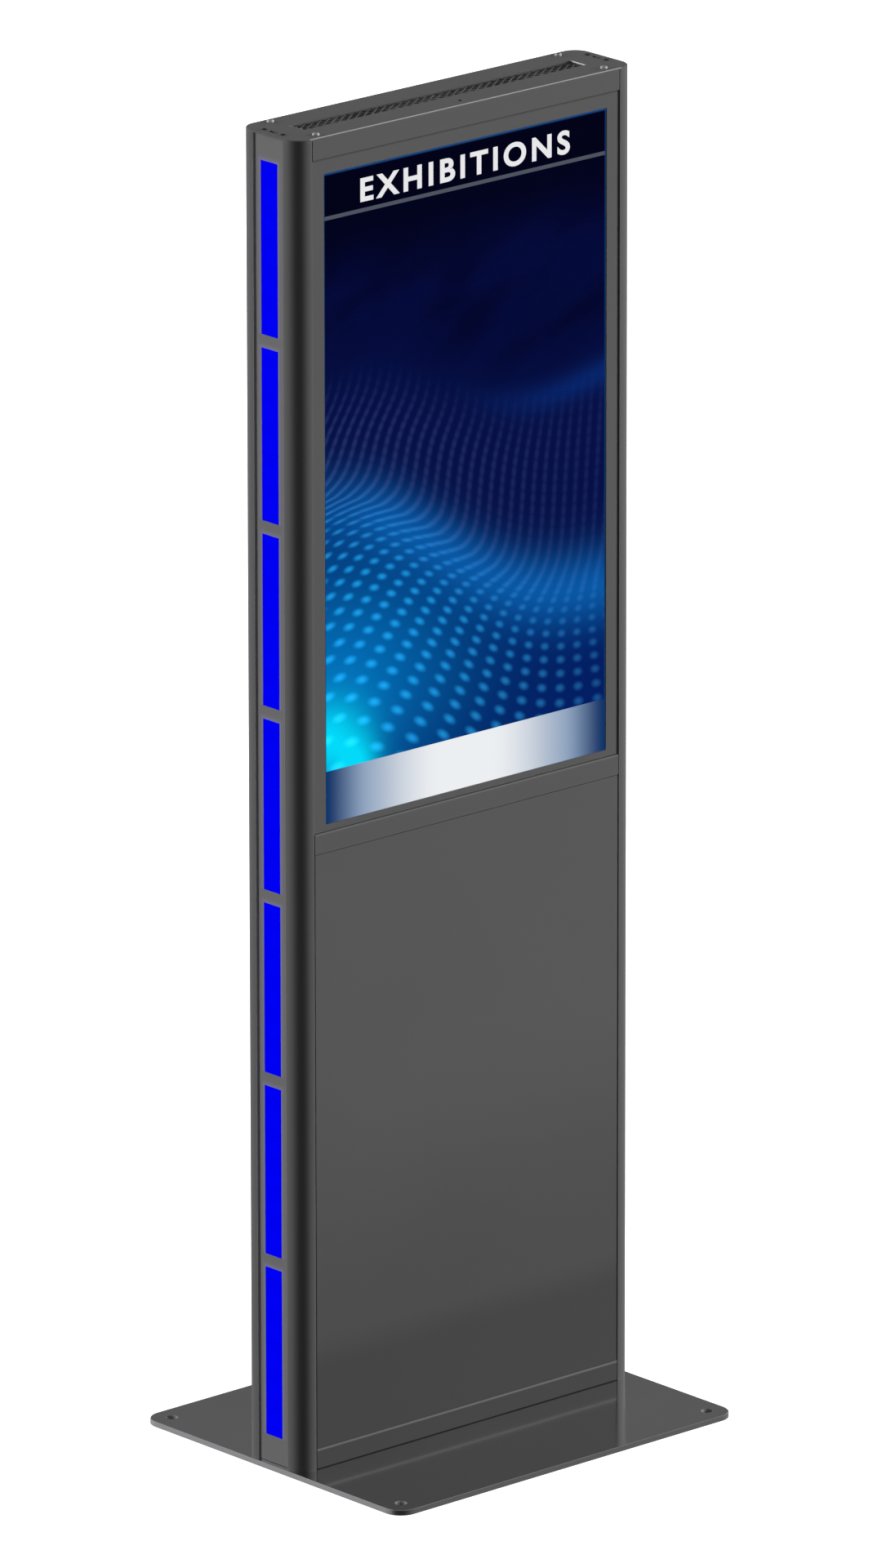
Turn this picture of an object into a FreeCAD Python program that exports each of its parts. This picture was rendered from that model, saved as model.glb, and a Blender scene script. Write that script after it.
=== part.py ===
"""Free-standing information kiosk: a flat slab-shaped body on a thin floor plate.

Millimetres.  +X is to the right seen from the front, the screen faces -Y, +Z is up.
The origin is the middle of the floor plate's underside.
"""
import FreeCAD, Part
import math
import os

from FreeCAD import Vector

# ---------------------------------------------------------------- driving dimensions
SCREEN_W = 529.3             # lit area of a 43 inch 16:9 display stood on end
SCREEN_H = SCREEN_W * 16 / 9
SCREEN_Z = 957.0             # lower edge of the lit area

PLATE_W = 645.0
PLATE_D = 550.0
PLATE_T = 8.0
PLATE_R = 28.0

BODY_W = 632.0
BODY_D = 122.0
BODY_R = 25.0
BODY_TOP = 1952.0
CAP_T = 3.0
POST_W = 28.0                # width of each side post seen from the front
WALL = 2.5                   # post wall
SHEET = 2.0                  # folded sheet metal

TOP_RAIL = (1920.5, BODY_TOP - CAP_T)
MID_RAIL = (917.0, 946.5)
LOW_RAIL = (PLATE_T, 38.0)
RAIL_D = 16.0

FACE_Y = -BODY_D / 2         # front of the posts and rails
BACK_Y = BODY_D / 2
BAY_X = BODY_W / 2 - POST_W  # inner face of the posts
RAIL_IN = BODY_D / 2 - RAIL_D

BEZEL_Y = FACE_Y + 2.0       # front of the screen surround
BEZEL_T = 1.5
BEZEL_D = 17.0
GLASS_T = 4.0
PANEL_Y = FACE_Y + 0.5       # front of the lower panel
PANEL_D = 13.0
PANEL_GAP = 2.0              # beside the lower panel
GAP = 1.0
PANEL_LIFT = 0.3             # the lower panel stands on the bottom rail
RAIL_GAP = 1.5               # joint between a rail and a post

CHANNEL_Y = 31.0             # half width of the light channel in each side
COVER_Y = 28.5               # half width of the cover in it
COVER_T = 1.5
COVER_DEEP = 2.5             # cover below the side face
LEDGE_Y = 24.0               # half width of the pocket behind the cover
POCKET_T = 9.0
WINDOWS = 7
WINDOW_W = 35.0
WINDOW_H = 250.0
WINDOW_PITCH = 269.0
WINDOW_Z = 48.0

SLOT_X = 263.0               # half length of the vent slot in the top
SLOT_Y = 16.5
CAP_SCREW = (269.0, 45.0)
END_X = 302.0                # cable notch and its two screws at each end of the top
END_Y = 3.0

FIX_X = 292.5                # floor fixing holes
FIX_Y = 245.0
FIX_R = 5.0

GROMMET_X = -200.0
GROMMET_Y = 10.0
GROMMET_R = 20.0

HINGE_X = -280.0             # axis of both rear doors
DOOR_T = 13.0
DOOR_Y = BACK_Y - 0.5        # outer face of the rear doors
HINGE_Y = DOOR_Y - DOOR_T / 2
DOOR_EDGE = BAY_X - 1.5
DOOR_GAP = 1.7
PIN_R = 3.0
RUN = 0.05                   # radial clearance of a running fit

LOCK_X = 255.0
LOCK_R = 9.0
PLUG_R = 6.0
LOCKS = {"upper": 1434.0, "lower": 478.0}
DOORS = {"upper": (MID_RAIL[1] + DOOR_GAP, TOP_RAIL[0] - DOOR_GAP),
         "lower": (LOW_RAIL[1] + DOOR_GAP, MID_RAIL[0] - DOOR_GAP)}

CHASSIS_BACK = -6.0          # rear of the display's metal back
BAR_T = 3.0
BARS_Z = (1120.0, 1735.0)
EQUIP_Y = -33.0              # mounting face for the equipment in the lower bay
FAN_X = 130.0
FAN_R = 38.0
FAN_Z = 1922.0
FAN_H = 20.0

X = Vector(1, 0, 0)
Y = Vector(0, 1, 0)
Z = Vector(0, 0, 1)


# ---------------------------------------------------------------- helpers
def box(x0, x1, y0, y1, z0, z1):
    """Box between two corners."""
    return Part.makeBox(x1 - x0, y1 - y0, z1 - z0, Vector(x0, y0, z0))


def rod(radius, length, start, along=Z):
    """Cylinder from a point along a direction."""
    return Part.makeCylinder(radius, length, Vector(*start), along)


def join(shapes):
    """One solid from touching shapes."""
    return shapes[0].multiFuse(shapes[1:]).removeSplitter()


def rounded(width, depth, radius, z0, z1):
    """Upright prism with rounded corners, centred on the Z axis."""
    prism = box(-width / 2, width / 2, -depth / 2, depth / 2, z0, z1)
    upright = [e for e in prism.Edges if abs(e.tangentAt(e.FirstParameter).z) > 0.9]
    return prism.makeFillet(radius, upright)


def ease(shape, size, z):
    """Chamfer the outline that lies at height z."""
    edges = [e for e in shape.Edges if all(abs(v.Z - z) < 1e-6 for v in e.Vertexes)]
    return shape.makeChamfer(size, edges)


def tray(x0, x1, z0, z1, front, depth, sheet):
    """Folded panel with its face at y = front and its returns towards +Y."""
    outer = box(x0, x1, front, front + depth, z0, z1)
    inner = box(x0 + sheet, x1 - sheet, front + sheet, front + depth, z0 + sheet, z1 - sheet)
    return outer.cut(inner)


def mirrored(shape):
    """The same shape on the other side of the YZ plane."""
    return shape.mirror(Vector(0, 0, 0), X)


def button_screw(point, out, length=10.0, head_r=4.75, head_h=2.6, shank_r=2.9):
    """Domed socket screw: head on the side that 'out' points to, shank the other way."""
    start = Vector(*point)
    head = Part.makeCylinder(head_r, head_h, start, out)
    rim = [e for e in head.Edges if (e.CenterOfMass - start).dot(out) > head_h * 0.9]
    head = head.makeFillet(head_h * 0.55, rim)
    sink = head_h * 0.6
    socket = Part.makeCylinder(head_r * 0.36, sink, start + out * (head_h - sink), out)
    shank = Part.makeCylinder(shank_r, length, start - out * length, out)
    return join([head.cut(socket), shank])


def cable(points, radius, bend):
    """Round lead along straight runs joined by tangent arcs."""
    path = [Vector(*p) for p in points]
    edges = []
    start = path[0]
    for i in range(1, len(path) - 1):
        inward = (path[i] - path[i - 1]).normalize()
        onward = (path[i + 1] - path[i]).normalize()
        turn = inward.getAngle(onward)
        trim = bend * math.tan(turn / 2)
        first = path[i] - inward * trim
        last = path[i] + onward * trim
        side = (onward - inward).normalize()
        middle = path[i] + side * (bend / math.cos(turn / 2) - bend)
        edges.append(Part.LineSegment(start, first).toShape())
        edges.append(Part.Arc(first, middle, last).toShape())
        start = last
    edges.append(Part.LineSegment(start, path[-1]).toShape())
    ring = Part.Wire(Part.makeCircle(radius, path[0], path[1] - path[0]))
    return Part.Wire(edges).makePipeShell([ring], True, False)


def save(name, *shapes):
    """Write one node; several shapes stay separate solids."""
    shape = shapes[0] if len(shapes) == 1 else Part.makeCompound(list(shapes))
    for solid in shape.Solids:
        if not solid.isValid():
            raise ValueError(name + " has an invalid solid")
    shape.exportStep("parts/" + name + ".step")
    print(name, len(shape.Solids), "solids", round(shape.Volume / 1000, 1), "cm3")


# ---------------------------------------------------------------- floor plate and foot
PLATE_BOLTS = [(x, y) for x in (-225.0, 0.0, 225.0) for y in (-34.0, 34.0)]
FOOT_SCREWS = [(y, z) for y in (-30.0, 30.0) for z in (28.0, 56.0)]


def base_plate():
    plate = ease(rounded(PLATE_W, PLATE_D, PLATE_R, 0, PLATE_T), 0.8, PLATE_T)
    cuts = [rod(GROMMET_R, PLATE_T, (GROMMET_X, GROMMET_Y, 0))]
    for x in (-FIX_X, FIX_X):
        for y in (-FIX_Y, FIX_Y):
            cuts.append(rod(FIX_R, PLATE_T, (x, y, 0)))
            cuts.append(Part.makeCone(FIX_R, FIX_R + 3.5, 3.5, Vector(x, y, PLATE_T - 3.5)))
    for x, y in PLATE_BOLTS:
        cuts.append(rod(4.2, PLATE_T, (x, y, 0)))
        cuts.append(Part.makeCone(8.4, 4.2, 4.2, Vector(x, y, 0)))
    return plate.cut(cuts)


def plate_bolts():
    """Countersunk bolts up through the floor plate into the foot."""
    bolts = []
    for x, y in PLATE_BOLTS:
        head = Part.makeCone(7.9, 4.0, 3.9, Vector(x, y, 0.3))
        shank = rod(4.0, 20.0, (x, y, 0.3))
        socket = Part.makeCylinder(2.5, 2.5, Vector(x, y, 0.3))
        bolts.append(join([head, shank]).cut(socket))
    return bolts


def foot_nuts():
    """Flanged hexagon nuts on the foot's floor."""
    nuts = []
    for x, y in PLATE_BOLTS:
        corners = [Vector(x + 7.5 * math.cos(a), y + 7.5 * math.sin(a), PLATE_T + 4)
                   for a in (k * math.pi / 3 for k in range(7))]
        body = Part.Face(Part.makePolygon(corners)).extrude(Vector(0, 0, 7))
        flange = rod(9.0, 1.4, (x, y, PLATE_T + 4))
        nuts.append(join([body, flange]).cut(rod(4.1, 8, (x, y, PLATE_T + 4))))
    return nuts


def foot_frame():
    """Steel floor of the body with an upstand against each post."""
    depth = RAIL_IN - 1.0
    floor = box(-BAY_X, BAY_X, -depth, depth, PLATE_T, PLATE_T + 4)
    ends = [box(s * BAY_X - (4 if s > 0 else 0), s * BAY_X + (0 if s > 0 else 4),
                -depth, depth, PLATE_T, 70.0) for s in (-1, 1)]
    frame = join([floor] + ends)
    cuts = [rod(GROMMET_R + 3, 10, (GROMMET_X, GROMMET_Y, 5))]
    cuts += [rod(4.2, 10, (x, y, 5)) for x, y in PLATE_BOLTS]
    cuts += [rod(3.1, 2 * BODY_W, (-BODY_W, y, z), X) for y, z in FOOT_SCREWS]
    return frame.cut(cuts)


def cable_grommet():
    """Rubber ring that lines the cable hole."""
    x, y = GROMMET_X, GROMMET_Y
    ring = join([rod(GROMMET_R - 0.1, PLATE_T + 4, (x, y, 1.0)),
                 rod(GROMMET_R + 2.6, 4, (x, y, PLATE_T))])
    return ring.cut(rod(14.0, 20, (x, y, 0)))


# ---------------------------------------------------------------- posts and rails
RAILS = {"front_top": (-1, TOP_RAIL), "front_mid": (-1, MID_RAIL), "front_bottom": (-1, LOW_RAIL),
         "rear_top": (1, TOP_RAIL), "rear_mid": (1, MID_RAIL), "rear_bottom": (1, LOW_RAIL)}
TAB_Z = (90.0, 480.0, 865.0)
BAR_SCREW_Y = CHASSIS_BACK + 18.0
EQUIP_SCREW_Y = EQUIP_Y + 14.0
EQUIP_Z = (120.0, 850.0)


def bracket_holes():
    """Points on the inner face of each post where brackets are screwed on: (y, z)."""
    points = [(side * (RAIL_IN - 15), (z0 + z1) / 2) for side, (z0, z1) in RAILS.values()
              if z0 > LOW_RAIL[0]]
    points += FOOT_SCREWS
    points += [(BAR_SCREW_Y, z) for z in BARS_Z]
    points += [(EQUIP_SCREW_Y, z) for z in (EQUIP_Z[0] + 20, EQUIP_Z[1] - 20)]
    points += [(FACE_Y + PANEL_D + 14, z) for z in TAB_Z]
    return points


def post():
    """Right-hand post: hollow, with a stepped channel down its outer side."""
    right = box(BAY_X, BODY_W, -BODY_D, BODY_D, PLATE_T, TOP_RAIL[1])
    shell = rounded(BODY_W, BODY_D, BODY_R, PLATE_T, TOP_RAIL[1]).common(right)
    inside = box(BAY_X + WALL, BODY_W, -BODY_D, BODY_D, PLATE_T, TOP_RAIL[1])
    hollow = rounded(BODY_W - 2 * WALL, BODY_D - 2 * WALL, BODY_R - WALL, PLATE_T, TOP_RAIL[1])
    face = BODY_W / 2 - COVER_DEEP
    ledge = face - COVER_T
    floor = ledge - POCKET_T
    wall_y = CHANNEL_Y + WALL
    block = box(floor - WALL, BODY_W, -wall_y, wall_y, PLATE_T, TOP_RAIL[1])
    hollow = hollow.common(inside).cut(block)
    cuts = [box(ledge, BODY_W, -CHANNEL_Y, CHANNEL_Y, PLATE_T, TOP_RAIL[1]),
            box(floor, BODY_W, -LEDGE_Y, LEDGE_Y, PLATE_T, TOP_RAIL[1])]
    cuts += [rod(3.0, 8.0, (BAY_X - 2, y, z), X) for y, z in bracket_holes()]
    cuts += [rod(3.0, 20.0, (floor - 15, 0, z), X) for z in (1700.0, 220.0)]
    return shell.cut(hollow).cut(cuts)


def rail(side, z0, z1):
    """Square tube between the posts, flush with the front or the rear face."""
    y0, y1 = (FACE_Y, -RAIL_IN) if side < 0 else (RAIL_IN, BACK_Y)
    half = BAY_X - RAIL_GAP
    tube = box(-half, half, y0, y1, z0, z1)
    tube = tube.cut(box(-half, half, y0 + SHEET, y1 - SHEET, z0 + SHEET, z1 - SHEET))
    middle = (z0 + z1) / 2
    inner = side * RAIL_IN
    cuts = [rod(3.0, 12.0, (s * (BAY_X - 18), inner - side * 8, middle), Y * side) for s in (-1, 1)]
    if z0 == TOP_RAIL[0]:
        cuts += [rod(2.1, 6.0, (s * CAP_SCREW[0], side * 47.5, z1 - 5)) for s in (-1, 1)]
    return tube.cut(cuts)


def with_pivot_holes(tube, z0, z1):
    """Holes for the door pins through the rail's lower and upper wall."""
    return tube.cut(rod(PIN_R + RUN, z1 - z0 + 2, (HINGE_X, HINGE_Y, z0 - 1)))


def corner_brackets():
    """Angles that hold each rail to the posts, and their screws."""
    angles = []
    screws = []
    for side, (z0, z1) in RAILS.values():
        middle = (z0 + z1) / 2
        inner = side * RAIL_IN
        for s in (-1, 1):
            if z0 == LOW_RAIL[0]:
                continue
            flat = sorted((s * BAY_X, s * (BAY_X - 30)))
            leg = sorted((s * BAY_X, s * (BAY_X - BAR_T)))
            along = box(*flat, *sorted((inner, inner - side * BAR_T)), middle - 9, middle + 9)
            across = box(*leg, *sorted((inner, inner - side * 25)), middle - 9, middle + 9)
            angle = join([along, across])
            x = s * (BAY_X - 18)
            y = side * (RAIL_IN - 15)
            holes = [rod(3.0, 8, (x, inner + side * 2, middle), Y * -side),
                     rod(3.0, 8, (s * (BAY_X + 2), y, middle), X * -s)]
            angles.append(angle.cut(holes))
            screws.append(button_screw((x, inner - side * BAR_T, middle), Y * -side, 7.0))
            screws.append(button_screw((s * (BAY_X - BAR_T), y, middle), X * -s, 7.0))
    return angles, screws


# ---------------------------------------------------------------- top
def top_cap():
    cap = ease(rounded(BODY_W, BODY_D, BODY_R, TOP_RAIL[1], BODY_TOP), 1.0, BODY_TOP)
    z = TOP_RAIL[1] - 1
    cuts = [box(-SLOT_X, SLOT_X, -SLOT_Y, SLOT_Y, z, z + 5),
            rod(3.5, 6, (2.5, -43.0, z))]
    for s in (-1, 1):
        cuts.append(box(s * END_X - 3, s * END_X + 3, END_Y - 8.5, END_Y + 8.5, z, z + 5))
        cuts += [rod(1.6, 6, (s * END_X, END_Y + dy, z)) for dy in (-19.5, 19.5)]
        cuts += [rod(2.1, 6, (s * CAP_SCREW[0], y, z)) for y in (-CAP_SCREW[1] - 2.5, CAP_SCREW[1] + 2.5)]
    return cap.cut(cuts)


def vent_mesh():
    """Slotted sheet under the long opening."""
    z = TOP_RAIL[1] - 1.5
    sheet = box(-SLOT_X - 10, SLOT_X + 10, -SLOT_Y - 10, SLOT_Y + 10, z, z + 1.5)
    slots = [box(x - 2.5, x + 2.5, -SLOT_Y, SLOT_Y, z - 1, z + 3)
             for x in (-SLOT_X + 6 + 8 * k for k in range(int(2 * SLOT_X / 8)))]
    return sheet.cut(slots)


def cap_screws():
    return [button_screw((s * CAP_SCREW[0], y, BODY_TOP), Z, 6.0, 5.0, 2.8, 2.0)
            for s in (-1, 1) for y in (-CAP_SCREW[1] - 2.5, CAP_SCREW[1] + 2.5)]


def end_screws():
    return [button_screw((s * END_X, END_Y + dy, BODY_TOP), Z, 3.0, 3.2, 1.2, 1.5)
            for s in (-1, 1) for dy in (-19.5, 19.5)]


def fan_tray():
    """Shelf across the top rails that carries both fans."""
    z = FAN_Z + FAN_H
    shelf = box(-230, 230, -RAIL_IN, RAIL_IN, z, z + SHEET)
    lips = [box(-230, 230, *sorted((s * RAIL_IN, s * (RAIL_IN - SHEET))), z - 12, z) for s in (-1, 1)]
    return join([shelf] + lips).cut([rod(FAN_R, 10, (x, 0, z - 2)) for x in (-FAN_X, FAN_X)])


def fan_frame(x):
    """Square fan housing with a three-armed motor mount and its shaft."""
    half = 40.0
    frame = box(x - half, x + half, -half, half, FAN_Z, FAN_Z + FAN_H)
    upright = [e for e in frame.Edges if abs(e.tangentAt(e.FirstParameter).z) > 0.9]
    frame = frame.makeFillet(5.0, upright).cut(rod(FAN_R, FAN_H, (x, 0, FAN_Z)))
    holes = [rod(2.2, FAN_H, (x + sx * 35.5, sy * 35.5, FAN_Z)) for sx in (-1, 1) for sy in (-1, 1)]
    arms = []
    for k in range(3):
        arm = box(x, x + FAN_R + 1, -2, 2, FAN_Z, FAN_Z + 2.5)
        arm.rotate(Vector(x, 0, 0), Z, 30 + 120 * k)
        arms.append(arm)
    motor = rod(15.0, 3.0, (x, 0, FAN_Z))
    shaft = rod(1.5, 15.0, (x, 0, FAN_Z))
    return join([frame.cut(holes), motor, shaft] + arms)


def fan_rotor(x):
    """Hub with seven pitched blades."""
    z0 = FAN_Z + 4.0
    height = 14.0
    blades = []
    for k in range(7):
        blade = box(x + 12, x + 36, -10, 10, z0 + 6, z0 + 7.6)
        blade.rotate(Vector(x, 0, z0 + 6.8), X, 32)
        blade.rotate(Vector(x, 0, 0), Z, 360 / 7 * k)
        blades.append(blade)
    sweep = rod(36.0, height, (x, 0, z0))
    rotor = join([rod(16.0, height, (x, 0, z0))] + blades).common(sweep)
    return rotor.cut(rod(1.5 + RUN, height - 2, (x, 0, z0)))


# ---------------------------------------------------------------- display
GLASS_Y = BEZEL_Y + BEZEL_T
SCREEN_TOP = SCREEN_Z + SCREEN_H
BEZEL_Z = (MID_RAIL[1] + GAP, TOP_RAIL[0] - GAP)
CHASSIS_X = 250.0
CHASSIS_Z = (1000.0, 1860.0)


def bezel_frame():
    z0, z1 = BEZEL_Z
    frame = tray(-BAY_X + GAP, BAY_X - GAP, z0, z1, BEZEL_Y, BEZEL_D, BEZEL_T)
    half = SCREEN_W / 2
    return frame.cut(box(-half, half, BEZEL_Y - 1, BEZEL_Y + 5, SCREEN_Z, SCREEN_TOP))


def touch_glass():
    z0, z1 = BEZEL_Z
    return box(-BAY_X + 4, BAY_X - 4, GLASS_Y, GLASS_Y + GLASS_T, z0 + 3, z1 - 3)


def display_gasket():
    """Foam frame between the glass and the display."""
    y = GLASS_Y + GLASS_T
    half = SCREEN_W / 2
    ring = box(-half - 8, half + 8, y, y + 2, SCREEN_Z - 6, SCREEN_TOP + 8)
    return ring.cut(box(-half - 1, half + 1, y, y + 2, SCREEN_Z - 1, SCREEN_TOP + 1))


def lcd_panel():
    y = GLASS_Y + GLASS_T + 2
    half = SCREEN_W / 2
    return box(-half - 8.5, half + 8.5, y, y + 12, SCREEN_Z - 8, SCREEN_TOP + 8.5)


def lcd_chassis():
    """Pressed metal back of the display."""
    y0 = GLASS_Y + GLASS_T + 14
    outer = box(-CHASSIS_X, CHASSIS_X, y0, CHASSIS_BACK, *CHASSIS_Z)
    rear = [e for e in outer.Edges if all(abs(v.Y - CHASSIS_BACK) < 1e-6 for v in e.Vertexes)]
    outer = outer.makeChamfer(6.0, rear)
    t = SHEET
    inner = box(-CHASSIS_X + t, CHASSIS_X - t, y0, CHASSIS_BACK - t, CHASSIS_Z[0] + t, CHASSIS_Z[1] - t)
    rear = [e for e in inner.Edges if all(abs(v.Y - CHASSIS_BACK + t) < 1e-6 for v in e.Vertexes)]
    inner = inner.makeChamfer(6.0, rear)
    holes = [rod(3.0, 20, (s * 150.0, CHASSIS_BACK - 12, z), Y) for s in (-1, 1) for z in BARS_Z]
    return outer.cut([inner] + holes)


def display_bars():
    """Two flat bars across the body that carry the display, with their screws."""
    y0 = CHASSIS_BACK
    y1 = y0 + BAR_T
    bars = []
    screws = []
    for z in BARS_Z:
        flat = box(-BAY_X, BAY_X, y0, y1, z - 20, z + 20)
        ends = [box(*sorted((s * BAY_X, s * (BAY_X - BAR_T))), y0, y0 + 30, z - 20, z + 20)
                for s in (-1, 1)]
        holes = [rod(3.0, 8, (s * 150.0, y0 - 2, z), Y) for s in (-1, 1)]
        holes += [rod(3.0, 8, (s * (BAY_X + 2), BAR_SCREW_Y, z), X * -s) for s in (-1, 1)]
        bars.append(join([flat] + ends).cut(holes))
        screws += [button_screw((s * 150.0, y1, z), Y, 9.0) for s in (-1, 1)]
        screws += [button_screw((s * (BAY_X - BAR_T), BAR_SCREW_Y, z), X * -s, 7.0) for s in (-1, 1)]
    return bars, screws


def touch_board():
    """Controller board on the back of the display, with its chips and sockets."""
    y = CHASSIS_BACK
    feet = [rod(2.5, 4.0, (x, y, z), Y) for x in (-40.0, 40.0) for z in (1402.0, 1458.0)]
    board = box(-48, 48, y + 4, y + 5.6, 1394, 1466)
    chips = [box(-24, 0, y + 5.6, y + 8, 1420, 1444),
             box(12, 32, y + 5.6, y + 10, 1404, 1416),
             box(-44, -30, y + 5.6, y + 14, 1408, 1452)]
    return join([board] + feet + chips)


# ---------------------------------------------------------------- lower front panel
def front_panel():
    z0 = LOW_RAIL[1] + PANEL_LIFT
    z1 = MID_RAIL[0] - GAP
    half = BAY_X - PANEL_GAP
    panel = tray(-half, half, z0, z1, PANEL_Y, PANEL_D, SHEET)
    studs = [rod(4.0, 12.0, (s * (BAY_X - 16), PANEL_Y + 1, z), Y) for s in (-1, 1) for z in TAB_Z]
    return join([panel] + studs)


def panel_tabs():
    """Angles on the posts that hold the front panel's studs, with their screws."""
    y0 = PANEL_Y + 13.0
    tabs = []
    screws = []
    for z in TAB_Z:
        for s in (-1, 1):
            x = s * (BAY_X - 16)
            y = FACE_Y + PANEL_D + 14
            flat = box(*sorted((s * BAY_X, s * (BAY_X - 26))), y0, y0 + 2.5, z - 12, z + 12)
            leg = box(*sorted((s * BAY_X, s * (BAY_X - 2.5))), y0, y0 + 24, z - 12, z + 12)
            holes = [rod(3.0, 8, (x, y0 - 2, z), Y),
                     rod(3.0, 8, (s * (BAY_X + 2), y, z), X * -s)]
            tabs.append(join([flat, leg]).cut(holes))
            screws.append(button_screw((x, y0 + 2.5, z), Y, 2.5))
            screws.append(button_screw((s * (BAY_X - 2.5), y, z), X * -s, 6.0))
    return tabs, screws


# ---------------------------------------------------------------- side lights
COVER_X = BODY_W / 2 - COVER_DEEP


def window_starts():
    return [WINDOW_Z + WINDOW_PITCH * k for k in range(WINDOWS)]


def led_cover():
    """Right-hand cover with its row of windows."""
    cover = box(COVER_X - COVER_T, COVER_X, -COVER_Y, COVER_Y, PLATE_T + 0.5, TOP_RAIL[1] - 0.5)
    half = WINDOW_W / 2
    return cover.cut([box(COVER_X - 5, COVER_X + 5, -half, half, z, z + WINDOW_H)
                      for z in window_starts()])


def led_diffusers():
    """Seven translucent blocks that fill the windows from behind."""
    back = COVER_X - COVER_T
    half = WINDOW_W / 2
    pads = []
    for z in window_starts():
        flange = box(back - 1.5, back, -half - 4, half + 4, z - 4, z + WINDOW_H + 4)
        nose = box(back, COVER_X - 0.3, -half + 0.15, half - 0.15, z + 0.15, z + WINDOW_H - 0.15)
        pads.append(join([flange, nose]))
    return pads


def led_strip():
    """Circuit strip in the bottom of the channel with a row of light chips."""
    floor = COVER_X - COVER_T - POCKET_T
    strip = box(floor, floor + 1.5, -6, 6, 30, 1930)
    chips = [box(floor + 1.5, floor + 3.0, -2.5, 2.5, z, z + 5) for z in range(60, 1900, 45)]
    return join([strip] + chips)


# ---------------------------------------------------------------- equipment bay
BREAKER_X = -132.0
BREAKER_Z = 760.0
LEVER_Y = 36.0
ISOLATOR_X = 150.0
ISOLATOR_Z = 745.0
ROCKER_Y = 16.0
PLAYER = (20.0, 200.0, 440.0, 620.0)
BUTTON = (176.0, 470.0)
PLAYER_FACE = 7.0


def equipment_plate():
    """Vertical sheet behind the front panel with a flange screwed to each post."""
    z0, z1 = EQUIP_Z
    sheet = box(-BAY_X, BAY_X, EQUIP_Y - SHEET, EQUIP_Y, z0, z1)
    relief = [box(*sorted((s * BAY_X, s * (BAY_X - 30))), EQUIP_Y - 5, EQUIP_Y + 5, z0 + 45, z1 - 45)
              for s in (-1, 1)]
    flanges = [box(*sorted((s * BAY_X, s * (BAY_X - SHEET))), EQUIP_Y - SHEET, EQUIP_Y + 26, a, a + 40)
               for s in (-1, 1) for a in (z0, z1 - 40)]
    holes = [rod(3.0, 8, (s * (BAY_X + 2), EQUIP_SCREW_Y, z), X * -s)
             for s in (-1, 1) for z in (z0 + 20, z1 - 20)]
    screws = [button_screw((s * (BAY_X - SHEET), EQUIP_SCREW_Y, z), X * -s, 6.0)
              for s in (-1, 1) for z in (z0 + 20, z1 - 20)]
    return join([sheet.cut(relief)] + flanges).cut(holes), screws


def media_player():
    x0, x1, z0, z1 = PLAYER
    case = box(x0, x1, EQUIP_Y, PLAYER_FACE, z0, z1)
    along = [e for e in case.Edges if abs(e.tangentAt(e.FirstParameter).y) > 0.9]
    case = case.makeFillet(8.0, along)
    fins = [box(x0 + 14 + 8 * k, x0 + 18 + 8 * k, PLAYER_FACE - 5, PLAYER_FACE + 1, z0 + 60, z1 - 14)
            for k in range(19)]
    x, z = BUTTON
    pocket = rod(6.3, 6.0, (x, PLAYER_FACE - 6, z), Y)
    sockets = [box(x0 + 16 + 22 * k, x0 + 31 + 22 * k, PLAYER_FACE - 4, PLAYER_FACE + 1, z0 + 16, z0 + 23)
               for k in range(4)]
    return case.cut(fins + [pocket] + sockets)


def player_button():
    x, z = BUTTON
    cap = rod(6.0, 4.0, (x, PLAYER_FACE - 3.0, z), Y)
    rim = [e for e in cap.Edges if e.CenterOfMass.y > PLAYER_FACE]
    return cap.makeFillet(0.6, rim)


def power_supply():
    """Open-sided metal case, perforated, with a terminal strip at its foot."""
    case = box(-205, -90, EQUIP_Y, 0, 420, 640)
    holes = [rod(2.0, 6, (x, -5, z), Y) for x in range(-193, -98, 12) for z in range(480, 632, 12)]
    step = box(-203, -92, EQUIP_Y + 14, 5, 415, 446)
    return case.cut(holes + [step])


def supply_terminals():
    blocks = box(-200, -95, EQUIP_Y + 14, EQUIP_Y + 28, 424, 442)
    wells = [rod(3.4, 4, (x, EQUIP_Y + 25, 433), Y) for x in range(-192, -98, 11)]
    return blocks.cut(wells)


def led_driver():
    case = box(-205, -35, EQUIP_Y, -3, 280, 340)
    along = [e for e in case.Edges if abs(e.tangentAt(e.FirstParameter).x) > 0.9]
    case = case.makeFillet(3.0, [e for e in along if e.CenterOfMass.y > -10])
    ears = [box(x, x + 14, EQUIP_Y, EQUIP_Y + 3, 295, 325) for x in (-219, -35)]
    return join([case] + ears)


def din_rail():
    """Top-hat rail, 35 mm high."""
    x0, x1 = -205.0, 70.0
    z = BREAKER_Z
    web = box(x0, x1, EQUIP_Y, EQUIP_Y + 1, z - 12.5, z + 12.5)
    sides = [box(x0, x1, EQUIP_Y, EQUIP_Y + 7.5, *sorted((z + s * 12.5, z + s * 13.5))) for s in (-1, 1)]
    lips = [box(x0, x1, EQUIP_Y + 6.5, EQUIP_Y + 7.5, *sorted((z + s * 12.5, z + s * 17.5))) for s in (-1, 1)]
    return join([web] + sides + lips)


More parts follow.
